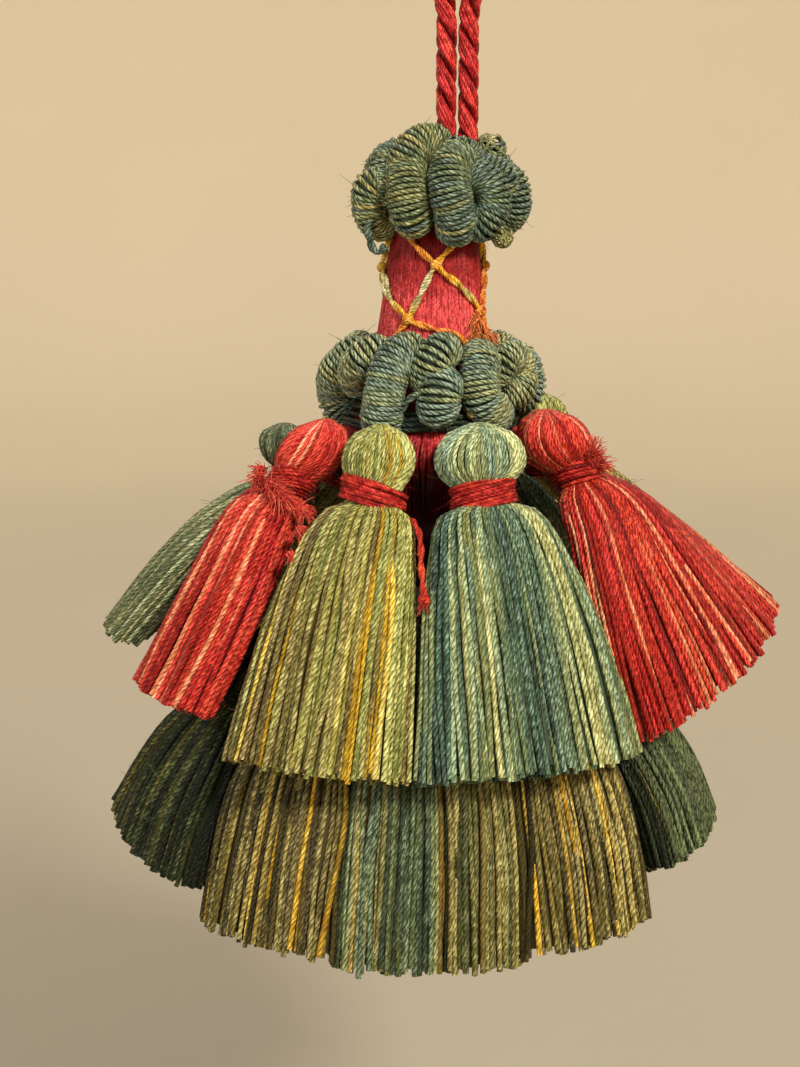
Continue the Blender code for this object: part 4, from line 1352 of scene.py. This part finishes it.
class TASSEL_OT_ruffs(bpy.types.Operator):
    """Winds the lobes of the two ruffs, with their small knots and loops"""

    bl_idname = "tassel.ruffs"
    bl_label = "Ruffs"

    def execute(self, context):
        (thread,) = in_mm(context.scene.tassel_sizes, "winding")
        material = yarn_material(
            "Green space-dyed winding cotton", "ruff_green", ply_pitch=2.6, dye_run=10, dye_spread=0.26,
            groove=0.50, crest_highlight=1.26, streaks=0.36, glints=0.30, roughness=0.34,
        )
        pitch = thread * 0.78
        # The lower ruff is painted lighter than the top one.
        jobs = [
            ("top_ruff_winding", "top_ruff", TOP_LOBES, TOP_BACK, TOP_RUFF_HEIGHT, TOP_RUFF_SHIFT, 1.0, 51),
            ("lower_ruff_winding", "lower_ruff", LOWER_LOBES, LOWER_BACK, LOWER_RUFF_HEIGHT, 0.0, 1.25, 52),
        ]
        for name, node, lobes, back, height, shift, painted_light, seed in jobs:
            rng = np.random.default_rng(seed)
            lines = Lines()
            for half_width, half_depth, path in lobes:
                tint = rng.uniform(0.35, 0.6)
                wind_lobe(lines, path, half_width, half_depth, thread, pitch, rng, shift, tint, painted_light)
            for azimuth, rise, half_width in back:
                widen = 0.0 if node == "top_ruff" else 4.2
                middle = height + rise
                path = [(azimuth + turn, radius + widen, middle + lift) for turn, radius, lift in BACK_LOBE]
                tint = rng.uniform(0.35, 0.6)
                wind_lobe(lines, path, half_width, half_width * 0.92, thread, pitch, rng, shift, tint, painted_light)
            if node == "top_ruff":
                for azimuth, radius, z, size in TOP_KNOTS:
                    wound_ball(lines, place(radius, azimuth, z, shift), size, thread * 0.8, rng, 0.5)
                hook = smooth_through(place_rows(TOP_HOOK, shift), 8)
                twisted_pair(lines, hook, thread, 4.0, [0.3, 0.2, 0.4], rng)
            else:
                loose = smooth_through(place_rows(LOWER_LOOSE), 8)
                twisted_pair(lines, loose, thread * 0.9, 4.0, [0.3, 0.45, 0.6], rng)
                for level, reach in LOWER_RINGS:
                    turn = np.arange(0, 361, 6.0)
                    radius, z = reach + 0.2 * np.sin(turn / 9), level + 0.25 * np.sin(turn / 14 + reach)
                    ring = place(radius, turn, z)
                    # The turns are painted dark, as the shade under the ruff.
                    lines.lay(ring, thread * 0.56, 0.18 + 0.12 * np.sin(turn / 23), shade=0.5)
                for azimuth, radius, z, size in LOWER_BEADS:
                    wound_ball(lines, place(radius, azimuth, z), size, thread * 0.7, rng, 0.8)
            lines.spin(name, material, sides=5, slot="ruff_thread", replaces=[node])
        return {"FINISHED"}


def streaky(profile, spread, accent, rate, bands=()):
    """A rule for strand tones: tones run across the tassel, neighbours differ a little, a few strands are
    much brighter, and a band of strands (place, half width, tone) may share one tone."""
    at = np.linspace(-1, 1, len(profile))

    def tone(lateral, front, rng):
        chance, drift = rng.uniform(), rng.normal(0, spread)
        for middle, half, own in bands:
            if front and abs(lateral - middle) < half:
                return own
        if chance < rate:
            return accent
        return float(np.interp(lateral if front else -0.7 * lateral, at, profile)) + drift

    return tone


TONES = {  # tones from a tassel's left edge to its right
    "red": streaky([0.40, 0.48, 0.56, 0.46, 0.52, 0.44, 0.38], 0.13, 0.97, 0.20),
    "upper_tassel_2": streaky([0.36, 0.50, 0.40, 0.52, 0.46, 0.50, 0.40], 0.12, 0.95, 0.08, [
        (-0.75, 0.02, 0.95), (-0.2, 0.04, 1.02), (0.28, 0.035, 1.0), (0.5, 0.02, 0.95), (0.78, 0.035, 1.0),
    ]),
    "olive": streaky(
        [0.02, 0.14, 0.04, 0.26, 0.12, 0.44, 0.42, 0.28, 0.56, 0.38, 0.62, 0.50, 0.30], 0.21, 1.0, 0.03,
        [(-0.72, 0.022, 0.9), (-0.42, 0.020, 1.1), (0.43, 0.032, 1.2), (0.64, 0.018, 1.15)],
    ),
    "teal": streaky(
        [0.36, 0.16, 0.44, 0.56, 0.48, 0.14, 0.20, 0.44, 0.62, 0.38, 0.60, 0.48], 0.16, 0.85, 0.02,
    ),
    "sage": streaky([0.40, 0.50, 0.62, 0.44, 0.55, 0.50], 0.15, 0.9, 0.04),
    "dark_green": streaky([0.34, 0.28, 0.46, 0.30, 0.40], 0.22, 0.85, 0.04),
    "green": streaky([0.50, 0.30, 0.36, 0.22, 0.52], 0.24, 0.9, 0.06),
    "moss": streaky([0.52, 0.34, 0.42, 0.30, 0.50], 0.24, 0.95, 0.07),
    "brown_olive": streaky([0.24, 0.36, 0.30, 0.46, 0.38, 0.32], 0.24, 0.88, 0.09),
}


def tier(context, names, rows, head, skirt, waist, first, seed):
    """Makes every small tassel of a tier: its strands, laid from its first section down, and its packed
    middle."""
    sizes = context.scene.tassel_sizes
    strand, spacing, pitch, uneven = in_mm(sizes, "strand", "spacing", "ply_pitch", "hem_unevenness")
    made = bpy.data.materials
    given = {"strand": strand, "spacing": spacing, "hem_unevenness": uneven, "strays": sizes.strays}
    for number, row in enumerate(rows, 1):
        dye = row[2]
        yarn, name = YARNS[dye], f"{names}_{number}"
        even = {"streaks": yarn.streaks, "glints": yarn.glints, "groove": yarn.groove}
        cotton, packed = f"Three-ply cotton, {dye} dye", f"Packed cotton core, {dye}"
        if cotton not in made:
            yarn_material(cotton, dye, ply_pitch=pitch, dye_spread=yarn.drift, **even)
            core_material(packed, dye)
        given["hairs"] = HAIRS["red" if dye == "red" else "green"]
        lines, stations, azimuth = tassel_lines(
            row, head, skirt, waist, first, seed + number, given, TONES.get(name, TONES[dye])
        )
        lines.spin(
            name + "_strands",
            made[cotton],
            sides=4,
            wander=0.15 * MM,
            seed=number,
            slot=yarn.slot,
            replaces=[name],
        )
        core_piece(name + "_core", azimuth, stations, first, made[packed])


class TASSEL_OT_upper_tier(bpy.types.Operator):
    """Lays the strands of the nine small tassels of the upper tier"""

    bl_idname = "tassel.upper_tier"
    bl_label = "Upper tier"

    def execute(self, context):
        tier(context, "upper_tassel", UPPER_TIER, UPPER_HEAD, UPPER_SKIRT, 6, 0, 100)
        return {"FINISHED"}


class TASSEL_OT_lower_tier(bpy.types.Operator):
    """Lays the strands of the eleven small tassels of the lower tier"""

    bl_idname = "tassel.lower_tier"
    bl_label = "Lower tier"

    def execute(self, context):
        tier(context, "lower_tassel", LOWER_TIER, LOWER_HEAD, LOWER_SKIRT, 3, 3, 200)
        return {"FINISHED"}


class TASSEL_OT_ties(bpy.types.Operator):
    """Binds the small tassels' waists, with frayed ends"""

    bl_idname = "tassel.ties"
    bl_label = "Ties"

    def execute(self, context):
        rng = np.random.default_rng(61)
        material = yarn_material(
            "Crimson binding thread",
            "red",
            ply_pitch=2.2,
            ply_depth=0.05,
            groove=0.68,
            dye_run=10,
            roughness=0.5,
        )
        for number, row in enumerate(UPPER_TIER, 1):
            azimuth = (row[0] + row[1]) / 2
            stations = tassel_stations(UPPER_HEAD, UPPER_SKIRT, row)
            upper, lower = stations[5], stations[6]  # the two sections of the waist
            lines = Lines()
            slant = TIE_SLANTS[number - 1]
            for turns, thick, grow, low, high in TIE_WINDINGS:
                count = int(turns * TIE_POINTS_A_TURN)
                share = np.linspace(0, turns, count) + rng.uniform(0, 1)
                down = np.linspace(low, high, count) + 0.05 * soft_noise(rng, count, 12)
                tilt = slant + 0.35 * soft_noise(rng, count, 6)
                points = []
                for s, t, lift in zip(share, down, tilt, strict=True):
                    station = upper * (1 - t) + lower * t
                    off = grow + 0.08 * math.sin(s * 5.1 + number)
                    p, c, _ = section_points(azimuth, station, np.array([s]), off)
                    points.append(p[0] + np.array([0, 0, lift * c[0] * MM]))
                    if grow > 0.3 and rng.uniform() < 0.16:
                        centre = place(station[0], azimuth + station[7], station[1])
                        HAIRS["red"].append((p[0], p[0] - centre, 0.5))
                lines.lay(np.array(points), thick, 0.40 + 0.22 * soft_noise(rng, count, 9))
            lines.spin(
                f"upper_tie_{number}_wraps",
                material,
                sides=6,
                slot="tie_thread",
                replaces=[f"upper_tie_{number}"],
            )
        tufts = Lines()
        for azimuth, radius, height, way, length, count, spread in TIE_TUFTS:
            frayed_tuft(
                tufts, place(radius, azimuth, height), way, length, count, spread, rng, fibre=0.17,
                tint=(0.3, 0.68), shade=1.9,
            )
        tufts.spin("tie_tufts", material, sides=3, slot="tie_thread")
        return {"FINISHED"}


class TASSEL_OT_tie_tail(bpy.types.Operator):
    """Lets the tail of one tie hang between the front tassels, ended with a blob"""

    bl_idname = "tassel.tie_tail"
    bl_label = "Tie tail"

    def execute(self, context):
        rng = np.random.default_rng(71)
        lines = Lines()
        route = smooth_through(place_rows(TIE_TAIL_ROUTE), 8)
        twisted_pair(lines, route, 0.52, 6.0, [0.5, 0.6, 0.5], rng)
        wound_ball(lines, route[-1], 0.85, 0.45, rng, 0.45)
        frayed_tuft(lines, route[-1], (0.1, -0.3, -1), 1.6, 26, 0.5, rng, tint=(0.3, 0.7))
        material = bpy.data.materials["Crimson binding thread"]
        lines.spin("tie_tail_thread", material, sides=6, slot="tie_thread", replaces=["tie_tail"])
        return {"FINISHED"}


class TASSEL_OT_fuzz(bpy.types.Operator):
    """Stands fine loose fibres off the yarn"""

    bl_idname = "tassel.fuzz"
    bl_label = "Loose fibres"

    def execute(self, context):
        made = bpy.data.materials
        fuzz("red_tassel_fuzz", HAIRS["red"], made["Three-ply cotton, red dye"], "yarn_red", 81)
        fuzz("green_tassel_fuzz", HAIRS["green"], made["Three-ply cotton, olive dye"], "yarn_olive", 82)
        fuzz("ruff_fuzz", HAIRS["ruff"], made["Green space-dyed winding cotton"], "ruff_thread", 83)
        for hairs in HAIRS.values():
            hairs.clear()
        return {"FINISHED"}


class TASSEL_OT_stage(bpy.types.Operator):
    """Sets up the pale floor that rises into a round backdrop, and the studio lights"""

    bl_idname = "tassel.stage"
    bl_label = "Stage"

    def execute(self, context):
        look = context.scene.tassel_stage
        fine = smooth_through(BACKDROP_PROFILE, 4)
        points = []
        for radius, height in fine:
            for i in range(BACKDROP_SIDES):
                turn = 2 * math.pi * i / BACKDROP_SIDES
                points.append((radius * math.sin(turn), -radius * math.cos(turn), height + FLOOR_HEIGHT))
        mesh = bpy.data.meshes.new("backdrop")
        mesh.from_pydata(points, [], ring_faces(len(fine), BACKDROP_SIDES))
        mesh.polygons.foreach_set("use_smooth", [True] * len(mesh.polygons))
        mesh.materials.append(stage_material("Matt cream card", list(look.card)))
        sweep = new_object("backdrop", mesh)
        lamps = [  # name, place, size, power, colour
            ("key", (0.31, -0.60, 0.37), 0.16, look.key, "FFF4E4"),
            ("fill", (-0.50, -0.50, 0.12), 0.5, look.fill, "EFF2FF"),
            ("top", (0.05, 0.25, 0.6), 0.5, look.fill, "FFF8EE"),
        ]
        for name, spot, size, power, tint in lamps:
            data = bpy.data.lights.new(name, "AREA")
            data.shape = "DISK"
            data.size = size
            data.energy = power
            data.color = from_hex(tint)[:3]
            lamp = new_object(name, data)
            lamp.location = spot
            way = LAMP_AIM - np.array(spot)
            flat = math.hypot(way[0], way[1])
            lamp.rotation_euler = (math.atan2(flat, -way[2]), 0, math.atan2(-way[0], way[1]))
        world = bpy.data.worlds.new("Studio")
        context.scene.world = world
        world.use_nodes = True
        glow = world.node_tree.nodes["Background"]
        glow.inputs["Color"].default_value = from_hex("F4EEE2")
        glow.inputs["Strength"].default_value = STUDIO_GLOW
        return {"FINISHED"}


class TASSEL_PT_maker(bpy.types.Panel):
    """Lists the tassel's pieces in the order they are made"""

    bl_label = "Yarn tassel"
    bl_space_type = "VIEW_3D"
    bl_region_type = "UI"
    bl_category = "Tassel"

    def draw(self, context):
        column = self.layout.column()
        for key in TasselSizes.__annotations__:
            column.prop(context.scene.tassel_sizes, key)
        for key in TasselStage.__annotations__:
            column.prop(context.scene.tassel_stage, key)
        for step in STEPS:
            column.operator(step.bl_idname)


STEPS = [
    TASSEL_OT_camera,
    TASSEL_OT_cord,
    TASSEL_OT_neck,
    TASSEL_OT_netting,
    TASSEL_OT_ruffs,
    TASSEL_OT_upper_tier,
    TASSEL_OT_ties,
    TASSEL_OT_tie_tail,
    TASSEL_OT_lower_tier,
    TASSEL_OT_fuzz,
    TASSEL_OT_stage,
]
CLASSES = [TasselSizes, TasselStage, *STEPS, TASSEL_PT_maker]


def register():
    for cls in CLASSES:
        bpy.utils.register_class(cls)
    bpy.types.Scene.tassel_sizes = bpy.props.PointerProperty(type=TasselSizes)
    bpy.types.Scene.tassel_stage = bpy.props.PointerProperty(type=TasselStage)


def unregister():
    del bpy.types.Scene.tassel_stage
    del bpy.types.Scene.tassel_sizes
    for cls in reversed(CLASSES):
        bpy.utils.unregister_class(cls)


def main():
    register()
    for step in STEPS:
        group, call = step.bl_idname.split(".")
        getattr(getattr(bpy.ops, group), call)()


if __name__ == "__main__":
    main()
